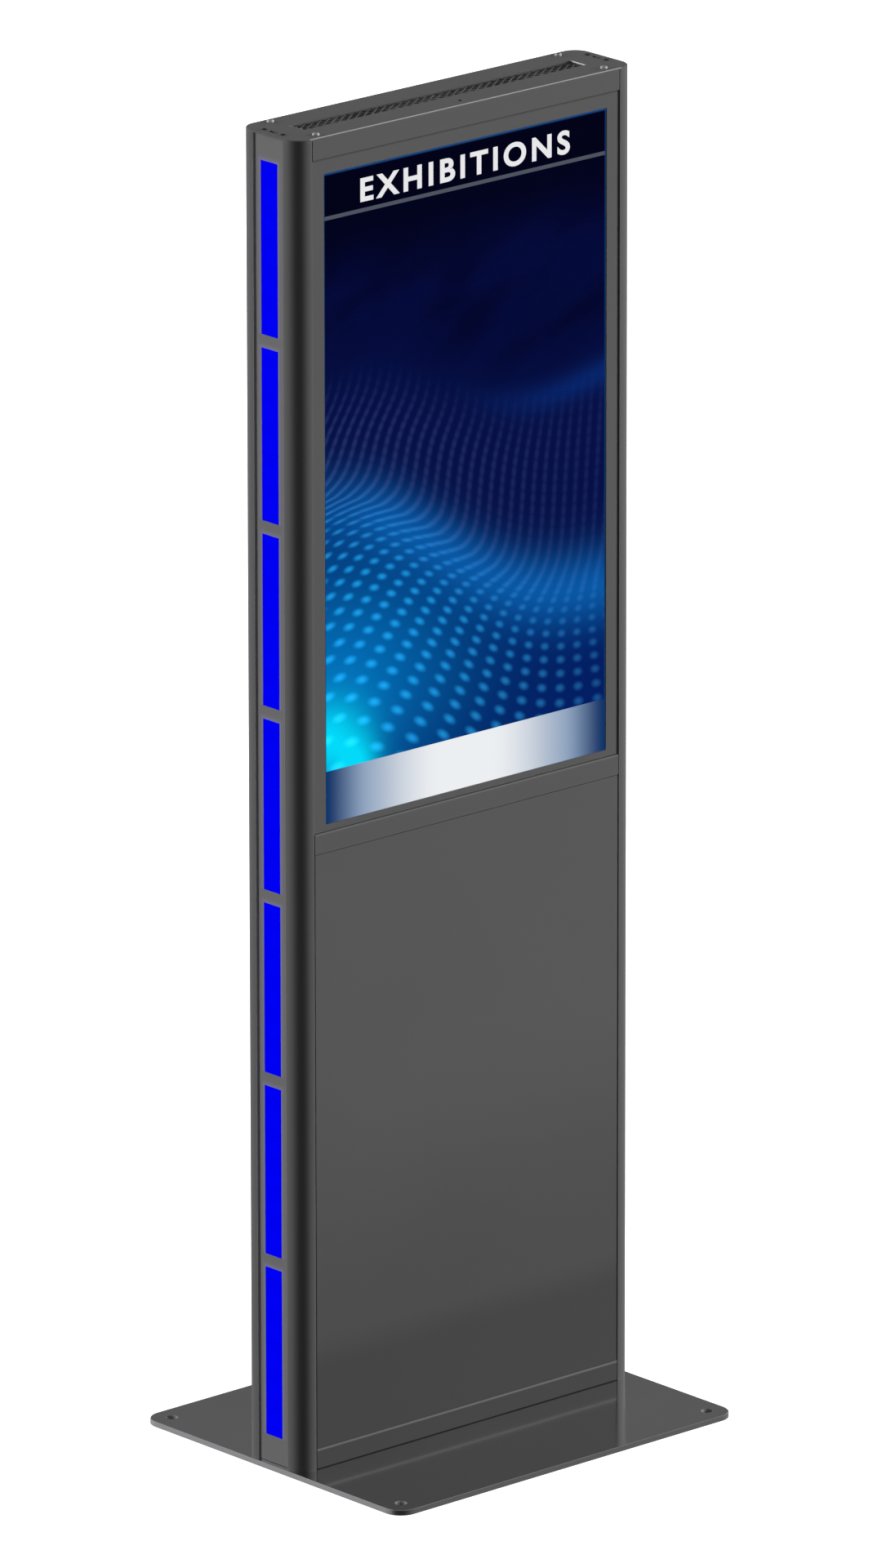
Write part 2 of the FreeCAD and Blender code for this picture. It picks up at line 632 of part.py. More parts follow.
def breaker():
    """Two-pole circuit breaker: stepped body with a round well for its lever."""
    x = BREAKER_X
    y = EQUIP_Y + 7.5
    body = join([box(x - 18, x + 18, y, 18, BREAKER_Z - 42, BREAKER_Z + 42),
                 box(x - 18, x + 18, 18, LEVER_Y, BREAKER_Z - 22, BREAKER_Z + 22)])
    well = rod(6.4, 16.6, (x - 8.3, LEVER_Y - 2, BREAKER_Z), X)
    axle = rod(1.5 + RUN, 22, (x - 11, LEVER_Y - 2, BREAKER_Z), X)
    wells = [rod(3.0, 8, (x + dx, 12, BREAKER_Z + dz), Y) for dx in (-9, 9) for dz in (-33, 33)]
    return body.cut([well, axle] + wells)


def breaker_lever():
    """Toggle on its axle, thrown upwards."""
    x = BREAKER_X
    y = LEVER_Y - 2
    drum = rod(6.0, 16, (x - 8, y, BREAKER_Z), X)
    axle = rod(1.5, 21, (x - 10.5, y, BREAKER_Z), X)
    grip = box(x - 7, x + 7, y, y + 11.5, BREAKER_Z - 2, BREAKER_Z + 2)
    grip.rotate(Vector(x, y, BREAKER_Z), X, 35)
    return join([drum, axle, grip])


def terminal_blocks():
    y = EQUIP_Y + 7.5
    bodies = []
    for k in range(8):
        x = -90.0 + 8 * k
        block = box(x, x + 7.6, y, 8, BREAKER_Z - 28, BREAKER_Z + 28)
        wells = [rod(2.2, 6, (x + 3.8, 4, BREAKER_Z + s * 18), Y) for s in (-1, 1)]
        bodies.append(block.cut(wells))
    return bodies


def isolator():
    """Switch box with a pocket for the rocker."""
    x, z = ISOLATOR_X, ISOLATOR_Z
    face = ROCKER_Y + 3
    case = box(x - 32, x + 32, EQUIP_Y, face, z - 26, z + 26)
    around = [e for e in case.Edges if abs(e.tangentAt(e.FirstParameter).y) > 0.9]
    case = case.makeFillet(4.0, around)
    pocket = box(x - 7.6, x + 7.6, face - 14, face + 1, z - 13, z + 13)
    axle = rod(1.5 + RUN, 20, (x - 10, ROCKER_Y, z), X)
    return case.cut([pocket, axle])


def isolator_rocker():
    """Rocker with a hollow face, tipped so that its lower end is in."""
    x, z = ISOLATOR_X, ISOLATOR_Z
    y = ROCKER_Y
    section = [(-6, -8), (-6, 8), (4, 11), (7, 11), (5, 0), (7, -11), (4, -11), (-6, -8)]
    outline = Part.makePolygon([Vector(x - 7.2, y + dy, z + dz) for dy, dz in section])
    paddle = Part.Face(outline).extrude(Vector(14.4, 0, 0))
    axle = rod(1.5, 19, (x - 9.5, y, z), X)
    rocker = join([paddle, axle])
    rocker.rotate(Vector(x, y, z), X, -8)
    return rocker


def cable_duct():
    """Open-backed wiring trunk: one length in each bay."""
    lengths = []
    for y, z0, z1 in ((EQUIP_Y, 175.0, 795.0), (CHASSIS_BACK + BAR_T, 965.0, 1885.0)):
        duct = box(-273, -245, y, y + 26, z0, z1).cut(box(-271.5, -246.5, y + 1.5, y + 24.5, z0, z1))
        slots = [box(-246.6, -244, y + 5, y + 21, z, z + 12) for z in range(int(z0) + 20, int(z1) - 20, 40)]
        lengths.append(duct.cut(slots))
    return lengths


def wiring():
    """Leads that leave or join the ends of the wiring trunks."""
    duct_y = EQUIP_Y + 13
    upper_y = CHASSIS_BACK + BAR_T + 13
    runs = [
        [(-259.0, duct_y, 100.0), (-259.0, duct_y, 240.0)],
        [(-259.0, upper_y, 1000.0), (-259.0, upper_y, 1900.0)],
        [(-259.0, duct_y + 8, 560.0), (-259.0, duct_y + 8, 900.0), (-259.0, upper_y, 948.0), (-259.0, upper_y, 990.0)],
    ]
    radii = (4.0, 3.0, 3.0)
    bends = (30.0, 30.0, 25.0)
    return [cable(points, r, bend) for points, r, bend in zip(runs, radii, bends)]


# ---------------------------------------------------------------- rear doors
def rear_door(name):
    """Folded door with a round hinge stile, louvres and a lock hole."""
    z0, z1 = DOORS[name]
    inner = DOOR_Y - DOOR_T
    stile = rod(DOOR_T / 2, z1 - z0, (HINGE_X, HINGE_Y, z0))
    skin = box(HINGE_X, DOOR_EDGE, DOOR_Y - SHEET, DOOR_Y, z0, z1)
    edge = box(DOOR_EDGE - SHEET, DOOR_EDGE, inner, DOOR_Y, z0, z1)
    ends = [box(HINGE_X, DOOR_EDGE, inner, DOOR_Y, a, a + SHEET) for a in (z0, z1 - SHEET)]
    bosses = [rod(DOOR_T / 2, 20, (HINGE_X, HINGE_Y, a)) for a in (z0, z1 - 20)]
    bore = rod(DOOR_T / 2 - SHEET, z1 - z0 - 40, (HINGE_X, HINGE_Y, z0 + 20))
    door = join([stile.cut(bore), skin, edge] + ends + bosses)
    first = z1 - 150 if name == "upper" else z0 + 50
    slots = [box(x - 32, x + 32, DOOR_Y - 5, DOOR_Y + 5, first + 10 * k, first + 10 * k + 4)
             for x in (-160.0, -80.0, 0.0, 80.0, 160.0) for k in range(10)]
    pins = [rod(PIN_R + RUN, 16, (HINGE_X, HINGE_Y, a)) for a in (z0 - 1, z1 - 15)]
    lock = rod(LOCK_R + 0.1, 10, (LOCK_X, DOOR_Y - 5, LOCKS[name]), Y)
    return door.cut(slots + pins + [lock])


def door_pivots():
    """Pins through the rails, each with a head inside the rail and a thrust collar."""
    pins = []
    for z, up in ((TOP_RAIL[0], -1), (MID_RAIL[1], 1), (MID_RAIL[0], -1), (LOW_RAIL[1], 1)):
        along = Z * up
        pin = rod(PIN_R, DOOR_GAP + 12 + SHEET, (HINGE_X, HINGE_Y, z - up * SHEET), along)
        head = rod(5.0, 2.0, (HINGE_X, HINGE_Y, z - up * (SHEET + 2)), along)
        collar = rod(5.5, DOOR_GAP - 0.2, (HINGE_X, HINGE_Y, z), along)
        pins.append(join([pin, head, collar]))
    return pins


def lock_body(name):
    """Threaded barrel with an outer flange and a hexagon nut behind the door skin."""
    z = LOCKS[name]
    skin = DOOR_Y - SHEET
    barrel = rod(LOCK_R, DOOR_Y + 2 - 39, (LOCK_X, 39, z), Y)
    flange = rod(12.0, 2.0, (LOCK_X, DOOR_Y, z), Y)
    corners = [Vector(LOCK_X + 13.5 * math.cos(a), skin - 4, z + 13.5 * math.sin(a))
               for a in (k * math.pi / 3 for k in range(7))]
    nut = Part.Face(Part.makePolygon(corners)).extrude(Vector(0, 4, 0))
    return join([barrel, flange, nut]).cut(rod(PLUG_R + RUN, 40, (LOCK_X, 30, z), Y))


def lock_cam(name):
    """Key plug with its cam, which points up while the door is free."""
    z = LOCKS[name]
    plug = rod(PLUG_R, DOOR_Y + 2.2 - 34, (LOCK_X, 34, z), Y)
    slot = box(LOCK_X - 0.9, LOCK_X + 0.9, DOOR_Y - 4, DOOR_Y + 4, z - 4, z + 4)
    tongue = box(LOCK_X - 7, LOCK_X + 7, 35.0, 38.0, z, z + 29)
    tip = rod(7.0, 3.0, (LOCK_X, 35.0, z + 22), Y)
    nose = box(LOCK_X - 7, LOCK_X + 7, 35.0, 38.0, z + 22, z + 29).common(tip)
    tongue = join([box(LOCK_X - 7, LOCK_X + 7, 35.0, 38.0, z, z + 22), nose])
    disc = rod(9.0, 3.0, (LOCK_X, 35.0, z), Y)
    return join([plug.cut(slot), tongue, disc])


def lock_strikes():
    """Angles on the right-hand post that the cams turn behind."""
    strikes = []
    for z in LOCKS.values():
        leg = box(BAY_X - 2.5, BAY_X, 16.0, 42.0, z - 25, z + 25)
        lip = box(BAY_X - 14, BAY_X, 39.0, 42.0, z - 25, z + 25)
        strikes.append(join([leg, lip]))
    return strikes


# ---------------------------------------------------------------- build
def main():
    os.makedirs("parts", exist_ok=True)
    save("base_plate", base_plate())
    save("plate_bolts", *plate_bolts())
    save("foot_nuts", *foot_nuts())
    save("foot_frame", foot_frame())
    save("cable_grommet", cable_grommet())

    right = post()
    save("right_post", right)
    save("left_post", mirrored(right))
    for name, (side, (z0, z1)) in RAILS.items():
        tube = rail(side, z0, z1)
        if side > 0:
            tube = with_pivot_holes(tube, z0, z1)
        save(name + "_rail", tube)

    angles, screws = corner_brackets()
    bars, bar_screws = display_bars()
    tabs, tab_screws = panel_tabs()
    sheet, sheet_screws = equipment_plate()
    foot_screws = [button_screw((s * (BAY_X - 4), y, z), X * -s, 8.0)
                   for s in (-1, 1) for y, z in FOOT_SCREWS]
    save("corner_brackets", *angles)
    save("frame_screws", *(screws + bar_screws + tab_screws + sheet_screws + foot_screws))

    save("top_cap", top_cap())
    save("vent_mesh", vent_mesh())
    save("cap_screws", *cap_screws())
    save("end_screws", *end_screws())
    save("fan_tray", fan_tray())
    save("fan_frames", fan_frame(-FAN_X), fan_frame(FAN_X))
    save("fan_rotor_left", fan_rotor(-FAN_X))
    save("fan_rotor_right", fan_rotor(FAN_X))

    save("bezel_frame", bezel_frame())
    save("touch_glass", touch_glass())
    save("display_gasket", display_gasket())
    save("lcd_panel", lcd_panel())
    save("lcd_chassis", lcd_chassis())
    save("display_bars", *bars)
    save("touch_board", touch_board())

    save("front_panel", front_panel())
    save("panel_tabs", *tabs)

    for name, shapes in (("led_cover", [led_cover()]), ("led_diffusers", led_diffusers()),
                         ("led_strip", [led_strip()])):
        save(name + "_right", *shapes)
        save(name + "_left", *[mirrored(s) for s in shapes])

    save("equipment_plate", sheet)
    save("media_player", media_player())
    save("player_button", player_button())
    save("power_supply", power_supply())
    save("supply_terminals", supply_terminals())
    save("led_driver", led_driver())
    save("din_rail", din_rail())
    save("breaker", breaker())
    save("breaker_lever", breaker_lever())
    save("terminal_blocks", *terminal_blocks())
    save("isolator", isolator())
    save("isolator_rocker", isolator_rocker())
    save("cable_duct", *cable_duct())
    save("wiring", *wiring())

    for name in DOORS:
        save("rear_door_" + name, rear_door(name))
        save("lock_body_" + name, lock_body(name))
        save("lock_cam_" + name, lock_cam(name))
    save("door_pivots", *door_pivots())
    save("lock_strikes", *lock_strikes())


main()
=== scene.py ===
# %% [markdown]
# # A free-standing information kiosk
# The kiosk is a flat slab on a thin floor plate: two round-cornered posts, three rails, a tall
# display above and a plain recessed panel below.  Blue light windows run down both sides.
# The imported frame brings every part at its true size, so this lesson only adds what the eye
# needs: finishes, the picture on the display and the small pieces that a plain solid hides.

import math

import bmesh
import bpy
import numpy as np
from mathutils import Matrix, Vector


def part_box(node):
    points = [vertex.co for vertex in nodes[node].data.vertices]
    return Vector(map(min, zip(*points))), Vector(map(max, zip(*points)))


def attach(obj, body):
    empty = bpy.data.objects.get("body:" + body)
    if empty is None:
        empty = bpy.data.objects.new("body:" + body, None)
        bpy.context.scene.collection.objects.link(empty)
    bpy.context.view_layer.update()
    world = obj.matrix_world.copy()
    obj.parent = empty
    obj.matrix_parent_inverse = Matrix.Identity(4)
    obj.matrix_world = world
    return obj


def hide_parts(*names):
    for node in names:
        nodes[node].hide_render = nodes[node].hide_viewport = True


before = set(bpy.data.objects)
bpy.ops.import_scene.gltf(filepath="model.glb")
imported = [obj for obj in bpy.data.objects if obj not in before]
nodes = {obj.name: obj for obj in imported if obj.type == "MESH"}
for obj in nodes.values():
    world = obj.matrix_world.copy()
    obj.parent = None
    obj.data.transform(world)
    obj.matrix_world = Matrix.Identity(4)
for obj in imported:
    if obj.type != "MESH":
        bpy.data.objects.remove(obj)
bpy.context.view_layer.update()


# %% [markdown]
# ## Camera
# A product shot of a tall flat object is taken from far away with a long lens, so that upright
# edges stay upright.  The camera is placed by the direction it looks from, the point it looks
# at and its distance.

# %% Camera
VIEW_AZIMUTH = -41.853        # degrees to the left of straight in front
VIEW_ELEVATION = 17.192
VIEW_ROLL = -0.069
VIEW_DISTANCE = 24.122        # metres
AIM_POINT = Vector((-0.0047, -0.0098, 0.9512))
LENS = 393.2                  # millimetres, on a sensor 36 mm wide
FAR_END = 200.0               # nothing further away is drawn


def make_camera():
    """Camera on a sphere round the aim point: back = (sin a cos e, -cos a cos e, sin e)."""
    a, e, r = (math.radians(v) for v in (VIEW_AZIMUTH, VIEW_ELEVATION, VIEW_ROLL))
    back = Vector((math.sin(a) * math.cos(e), -math.cos(a) * math.cos(e), math.sin(e)))
    right = Vector((math.cos(a), math.sin(a), 0))
    up = back.cross(right)
    turned = right * math.cos(r) + up * math.sin(r)
    upright = up * math.cos(r) - right * math.sin(r)
    data = bpy.data.cameras.new("camera")
    data.lens = LENS
    data.sensor_width = 36.0
    data.clip_end = FAR_END
    camera = bpy.data.objects.new("camera", data)
    camera.matrix_world = Matrix.Translation(AIM_POINT + back * VIEW_DISTANCE) @ Matrix(
        (turned, upright, back)).transposed().to_4x4()
    bpy.context.scene.collection.objects.link(camera)
    bpy.context.scene.camera = camera
    return back


toward_camera = make_camera()
print("camera looks from", [round(v, 3) for v in toward_camera])


# %% [markdown]
# ## Writing shader maths as formulas
# The display's picture and most finishes are formulas.  Wiring dozens of Math nodes by hand is
# hard to read, so a small class lets a node socket be used like a number: every plus, minus or
# multiplication adds one Math node to the tree.

# %% Formula helper
class Term:
    """A socket that can be used in arithmetic; each operation becomes a Math node."""

    def __init__(self, tree, socket):
        self.tree = tree
        self.socket = socket

    def op(self, name, other=None, clamp=False):
        """One Math node; other is a number or a Term."""
        node = self.tree.nodes.new("ShaderNodeMath")
        node.operation = name
        node.use_clamp = clamp
        for slot, value in zip(node.inputs, (self, other)):
            if isinstance(value, Term):
                self.tree.links.new(value.socket, slot)
            elif value is not None:
                slot.default_value = value
        return Term(self.tree, node.outputs[0])

    def __add__(self, other):
        return self.op("ADD", other)

    def __sub__(self, other):
        return self.op("SUBTRACT", other)

    def __mul__(self, other):
        return self.op("MULTIPLY", other)

    def __truediv__(self, other):
        return self.op("DIVIDE", other)

    def minus_from(self, number):
        """The number minus this term."""
        return (self * -1.0) + number

    def clamp(self):
        """Held between 0 and 1."""
        return self.op("ADD", 0.0, clamp=True)

    def step(self, start, end):
        """Smooth ramp from 0 at start to 1 at end."""
        node = self.tree.nodes.new("ShaderNodeMapRange")
        node.interpolation_type = "SMOOTHSTEP"
        self.tree.links.new(self.socket, node.inputs["Value"])
        node.inputs["From Min"].default_value = start
        node.inputs["From Max"].default_value = end
        if start > end:
            node.inputs["From Min"].default_value = end
            node.inputs["From Max"].default_value = start
            node.inputs["To Min"].default_value = 1.0
            node.inputs["To Max"].default_value = 0.0
        return Term(self.tree, node.outputs["Result"])

    def bell(self, width):
        """exp(-(x / width)^2)."""
        scaled = self * (1.0 / width)
        return (scaled * scaled * -1.0).op("EXPONENT")


def mix_colour(tree, start, end, factor):
    """Colour from start to end; each is an RGB triple or a socket."""
    node = tree.nodes.new("ShaderNodeMix")
    node.data_type = "RGBA"
    tree.links.new(factor.socket if isinstance(factor, Term) else factor, node.inputs["Factor"])
    for slot, value in ((node.inputs["A"], start), (node.inputs["B"], end)):
        if isinstance(value, (tuple, list)):
            slot.default_value = (*value, 1.0)
        else:
            tree.links.new(value, slot)
    return node.outputs["Result"]


def object_axes(tree):
    """The point's own X, Y and Z in metres, as terms."""
    place = tree.nodes.new("ShaderNodeTexCoord")
    split = tree.nodes.new("ShaderNodeSeparateXYZ")
    tree.links.new(place.outputs["Object"], split.inputs[0])
    return [Term(tree, split.outputs[k]) for k in range(3)]


# %% [markdown]
# ## Shared surface effects
# Powder coat, bare metal and moulded plastic all need the same few things: a fine grain that
# catches the light, slow cloudy changes in tone, and box edges with a painted highlight or painted
# shade.  Each is one node group, used by many finishes with different numbers.

# %% Effect groups
def new_group(name, inputs, outputs):
    """Empty shader group with named sockets: (name, type, default)."""
    group = bpy.data.node_groups.new(name, "ShaderNodeTree")
    for title, kind, default in inputs:
        socket = group.interface.new_socket(name=title, in_out="INPUT", socket_type=kind)
        if default is not None:
            socket.default_value = default
    for title, kind in outputs:
        group.interface.new_socket(name=title, in_out="OUTPUT", socket_type=kind)
    return group, group.nodes.new("NodeGroupInput"), group.nodes.new("NodeGroupOutput")


def noise(tree, vector, scale, detail=2.0, roughness=0.5):
    """Noise texture over a vector socket; scale may be a number or a socket."""
    node = tree.nodes.new("ShaderNodeTexNoise")
    node.inputs["Detail"].default_value = detail
    node.inputs["Roughness"].default_value = roughness
    tree.links.new(vector, node.inputs["Vector"])
    if isinstance(scale, (int, float)):
        node.inputs["Scale"].default_value = scale
    else:
        tree.links.new(scale, node.inputs["Scale"])
    return Term(tree, node.outputs["Fac"])


def build_grain():
    """Fine skin: height = noise at Scale plus half of a noise three times finer."""
    group, enter, leave = new_group(
        "fine_grain", [("Vector", "NodeSocketVector", None), ("Scale", "NodeSocketFloat", 900.0)],
        [("Height", "NodeSocketFloat")])
    scale = Term(group, enter.outputs["Scale"])
    coarse = noise(group, enter.outputs["Vector"], scale.socket, 1.0)
    fine = noise(group, enter.outputs["Vector"], (scale * 3.1).socket, 0.0)
    height = coarse + fine * 0.5
    group.links.new(height.socket, leave.inputs["Height"])
    return group


def build_clouds():
    """Slow change of tone: Low to High, following a soft noise about a hand's width across."""
    group, enter, leave = new_group(
        "cloudy_tone", [("Vector", "NodeSocketVector", None), ("Scale", "NodeSocketFloat", 6.0),
                        ("Low", "NodeSocketFloat", 0.9), ("High", "NodeSocketFloat", 1.1)],
        [("Value", "NodeSocketFloat")])
    wave = noise(group, enter.outputs["Vector"], enter.outputs["Scale"], 3.0, 0.55).step(0.3, 0.7)
    low = Term(group, enter.outputs["Low"])
    high = Term(group, enter.outputs["High"])
    value = low + (high - low) * wave
    group.links.new(value.socket, leave.inputs["Value"])
    return group


def build_edges():
    """Box edges: the second smallest distance to the six faces of the box Low..High."""
    group, enter, leave = new_group(
        "box_edges", [("Vector", "NodeSocketVector", None), ("Low", "NodeSocketVector", None),
                      ("High", "NodeSocketVector", None), ("Width", "NodeSocketFloat", 0.001)],
        [("Mask", "NodeSocketFloat")])
    parts = {}
    for title in ("Vector", "Low", "High"):
        split = group.nodes.new("ShaderNodeSeparateXYZ")
        group.links.new(enter.outputs[title], split.inputs[0])
        parts[title] = [Term(group, split.outputs[k]) for k in range(3)]
    near = []
    for k in range(3):
        below = (parts["Vector"][k] - parts["Low"][k]).op("ABSOLUTE")
        above = (parts["High"][k] - parts["Vector"][k]).op("ABSOLUTE")
        near.append(below.op("MINIMUM", above))
    x, y, z = near
    second = x.op("MINIMUM", y).op("MAXIMUM", x.op("MAXIMUM", y).op("MINIMUM", z))
    wobble = noise(group, enter.outputs["Vector"], 60.0, 2.0)
    width = Term(group, enter.outputs["Width"])
    mask = (second / (width * (wobble * 1.2 + 0.4))).minus_from(1.0).clamp()
    group.links.new(mask.socket, leave.inputs["Mask"])
    return group


def build_brush():
    """Brushed lines: noise squeezed by Stretch, so that it runs long one way and short across."""
    group, enter, leave = new_group(
        "brushed_lines", [("Vector", "NodeSocketVector", None),
                          ("Stretch", "NodeSocketVector", (4.0, 900.0, 900.0))],
        [("Value", "NodeSocketFloat")])
    squeeze = group.nodes.new("ShaderNodeVectorMath")
    squeeze.operation = "MULTIPLY"
    group.links.new(enter.outputs["Vector"], squeeze.inputs[0])
    group.links.new(enter.outputs["Stretch"], squeeze.inputs[1])
    lines = noise(group, squeeze.outputs[0], 1.0, 3.0, 0.6)
    group.links.new(lines.socket, leave.inputs["Value"])
    return group


GRAIN = build_grain()
CLOUDS = build_clouds()
EDGES = build_edges()
BRUSH = build_brush()
print("effect groups:", [g.name for g in bpy.data.node_groups])


# %% [markdown]
# ## Finishes
# A finish is one Principled shader.  Its base colour is a paint tone times the cloudy tone, with
# a painted highlight or painted shade on box edges; its roughness follows the same clouds; and
# the fine grain feeds a bump so faint that it only breaks up the highlights.

# %% Finish builder
SKIN_DEPTH = 0.0004             # depth that a full bump stands for


def use_group(tree, group, vector, **values):
    """Place a group in a tree, give it the vector and its own numbers."""
    node = tree.nodes.new("ShaderNodeGroup")
    node.node_tree = group
    tree.links.new(vector, node.inputs["Vector"])
    for title, value in values.items():
        node.inputs[title].default_value = value
    return node


def new_material(name):
    """Material with its node tree and its Principled shader."""
    material = bpy.data.materials.new(name)
    material.use_nodes = True
    return material, material.node_tree, material.node_tree.nodes["Principled BSDF"]


def whole_place(tree):
    """The point's own place in metres, as one vector socket."""
    return tree.nodes.new("ShaderNodeTexCoord").outputs["Object"]


def finish(name, colour, rough, metal=0.0, grain=900.0, bump=0.05, clouds=(0.93, 1.07),
           cloud_scale=6.0, edge=None, edge_light_shade=1.4, brush=None, specular=0.5):
    """Material with grain, clouds, optional brushed lines, optional painted highlight or shade on
    edges.
    """
    material, tree, shader = new_material(name)
    place = whole_place(tree)
    tone = Term(tree, use_group(tree, CLOUDS, place, Scale=cloud_scale, Low=clouds[0],
                                High=clouds[1]).outputs["Value"])
    if brush:
        lines = Term(tree, use_group(tree, BRUSH, place, Stretch=brush).outputs["Value"])
        tone = tone * (lines * 0.5 + 0.75)
    dark = tuple(c * clouds[0] for c in colour)
    light = tuple(c * clouds[1] for c in colour)
    blend = ((tone - clouds[0]) / max(clouds[1] - clouds[0], 1e-3)).clamp()
    paint = mix_colour(tree, dark, light, blend)
    # Box edges: a painted highlight where the factor is above 1, painted shade where it is below.
    if edge:
        low, high, width = edge
        mask = use_group(tree, EDGES, place, Low=low, High=high, Width=width).outputs["Mask"]
        paint = mix_colour(tree, paint, tuple(min(1.0, c * edge_light_shade) for c in colour), mask)
    tree.links.new(paint, shader.inputs["Base Color"])
    tree.links.new((tone * rough).clamp().socket, shader.inputs["Roughness"])
    height = tree.nodes.new("ShaderNodeBump")
    height.inputs["Strength"].default_value = bump
    height.inputs["Distance"].default_value = SKIN_DEPTH
    tree.links.new(use_group(tree, GRAIN, place, Scale=grain).outputs["Height"],
                   height.inputs["Height"])
    tree.links.new(height.outputs["Normal"], shader.inputs["Normal"])
    shader.inputs["Metallic"].default_value = metal
    shader.inputs["Specular IOR Level"].default_value = specular
    return material


# %% [markdown]
# ## Powder coat
# The body is charcoal powder coat.  On it go a painted highlight or painted shade along box edges,
# painted shade towards the floor, a painted glint at the ends of the vent slot and painted light
# on the walls of the post channels.  Each of these places is known from the kiosk's measures, so
# it is described by a distance and not drawn by hand.

# %% Tones and measures of the coat
CHARCOAL = (0.105, 0.105, 0.106)
BODY_HALF_X = 0.3160
BODY_HALF_Y = 0.0610
BODY_ROUND = 0.0250
# Factor on the tone of a part's box edges: painted highlight above 1, painted shade below 1;
# 1.3 where nothing is said.
EDGE_LIGHT_SHADE = {"front_top_rail": 1.1, "front_mid_rail": 1.2, "front_bottom_rail": 1.1,
             "bezel_frame": 1.15, "front_panel": 0.9, "top_cap": 1.0}
# Tone and height of the painted highlight along the top front edge.
LEDGE_HIGHLIGHT = {"front_mid_rail": (0.150, 0.0030), "front_bottom_rail": (0.160, 0.0036),
              "top_cap": (0.36, 0.0014)}
# Height of the dark strip that lies in the shade of the rail above.
SHADED = {"bezel_frame": 0.0026}
# Parts that get painted shade towards the floor, and the tone of that shade.
LOW_SHADE_PARTS = ("front_panel", "front_bottom_rail", "rear_door_lower", "rear_bottom_rail")
LOW_SHADE_TONE = (0.012, 0.012, 0.012)
SHADE_TONE = (0.02, 0.02, 0.02)
# Painted glint on the two ends of the vent slot.
SLOT_END_GLINT = (0.70, 0.70, 0.71)
# Painted light on the channel walls of the posts.
CHANNEL_WALL_LIGHT = (0.34, 0.34, 0.35)
CHANNEL_HALF = 0.0310
CHANNEL_INNER = 0.3100
VENT_HALF_X = 0.2630
VENT_HALF_Y = 0.0165
CAP_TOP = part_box("top_cap")[1].z
CAP_SHEET = 0.0016
FACE_REACH = 0.0003             # a face is taken as its plane and this much on either side
print("cap top at", round(CAP_TOP, 4), "m; marked parts:", len(LOW_SHADE_PARTS) + len(LEDGE_HIGHLIGHT))


# %% [markdown]
# Each mark is a mask, zero where the coat keeps its plain tone and one where the painted tone
# goes.

# %% Marks on the coat
def paint_over(material, colour, mask):
    """Mix a further tone into a finished coat wherever the mask is one."""
    tree = material.node_tree
    shader = tree.nodes["Principled BSDF"]
    paint = shader.inputs["Base Color"].links[0].from_socket
    tree.links.new(mix_colour(tree, paint, colour, mask), shader.inputs["Base Color"])


def low_shade(tree):
    """Painted shade towards the floor: slowly below 0.60 m, and again below 0.21 m."""
    z = object_axes(tree)[2]
    return z.step(0.60, 0.22) * 0.22 + z.step(0.21, 0.15) * 0.17


def slot_end_glints(tree):
    """Painted glint along the two ends of the vent slot."""
    x, y, z = object_axes(tree)
    end = (x.op("ABSOLUTE") - VENT_HALF_X).op("ABSOLUTE").op("LESS_THAN", FACE_REACH)
    inside = y.op("ABSOLUTE").op("LESS_THAN", VENT_HALF_Y + FACE_REACH)
    return end * inside * z.op("GREATER_THAN", CAP_TOP - CAP_SHEET)


def lit_channel_walls(tree):
    """Painted light on the walls of the light channel in a post."""
    x, y = object_axes(tree)[:2]
    wall = (y.op("ABSOLUTE") - CHANNEL_HALF).op("ABSOLUTE").op("LESS_THAN", 0.0002)
    return wall * x.op("ABSOLUTE").op("GREATER_THAN", CHANNEL_INNER)


def ledge_highlight(tree, node, width):
    """Painted highlight along the top front edge of a part, as wide as its rounding."""
    low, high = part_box(node)
    x, y, z = object_axes(tree)
    top = z.step(high.z - width, high.z - width * 0.6)
    front = y.step(low.y + width, low.y + width * 0.6)
    straight = x.op("ABSOLUTE").op("LESS_THAN", BODY_HALF_X - BODY_ROUND)
    return top * front * straight


def under_rail(tree, node, width):
    """Strip at the top of a part that lies in the shade of the rail above it."""
    z = object_axes(tree)[2]
    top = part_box(node)[1].z
    return z.step(top - width, top - width * 0.7) * 0.35


# %% [markdown]
# Each coated part gets its own copy of the finish, because the painted highlight and shade on its
# edges are worked out from that part's own box.

# %% Coat of one part
EVEN_COAT = dict(bump=0.06, grain=1400.0, clouds=(0.985, 1.015), cloud_scale=4.0, specular=0.3)


def coat_for(node, width=0.0016):
    """Powder coat of one part: painted highlight or shade on its box edges, plus the painted
    shade, highlights, glint and light listed above.
    """
    low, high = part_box(node)
    material = finish(node + "_coat", CHARCOAL, 0.5, edge=(tuple(low), tuple(high), width),
                      edge_light_shade=EDGE_LIGHT_SHADE.get(node, 1.3), **EVEN_COAT)
    tree = material.node_tree
    # Painted shade low down, painted highlights, painted shade under a rail, a painted glint,
    # painted light.
    if node in LOW_SHADE_PARTS:
        paint_over(material, LOW_SHADE_TONE, low_shade(tree))
    if node in LEDGE_HIGHLIGHT:
        tone, reach = LEDGE_HIGHLIGHT[node]
        paint_over(material, (tone,) * 3, ledge_highlight(tree, node, reach))
    if node in SHADED:
        paint_over(material, SHADE_TONE, under_rail(tree, node, SHADED[node]))
    if node == "top_cap":
        paint_over(material, SLOT_END_GLINT, slot_end_glints(tree))
    if node in ("left_post", "right_post"):
        paint_over(material, CHANNEL_WALL_LIGHT, lit_channel_walls(tree))
    return material


# %% [markdown]
# ## Metals, plastics and rubber
# The other materials need no marks.  Rolled sheet shows long brushed lines, moulded plastic has
# a coarser grain than paint, and rubber is dull.  Zinc and raw aluminium have a matt skin of
# oxide, so they are only partly metallic.

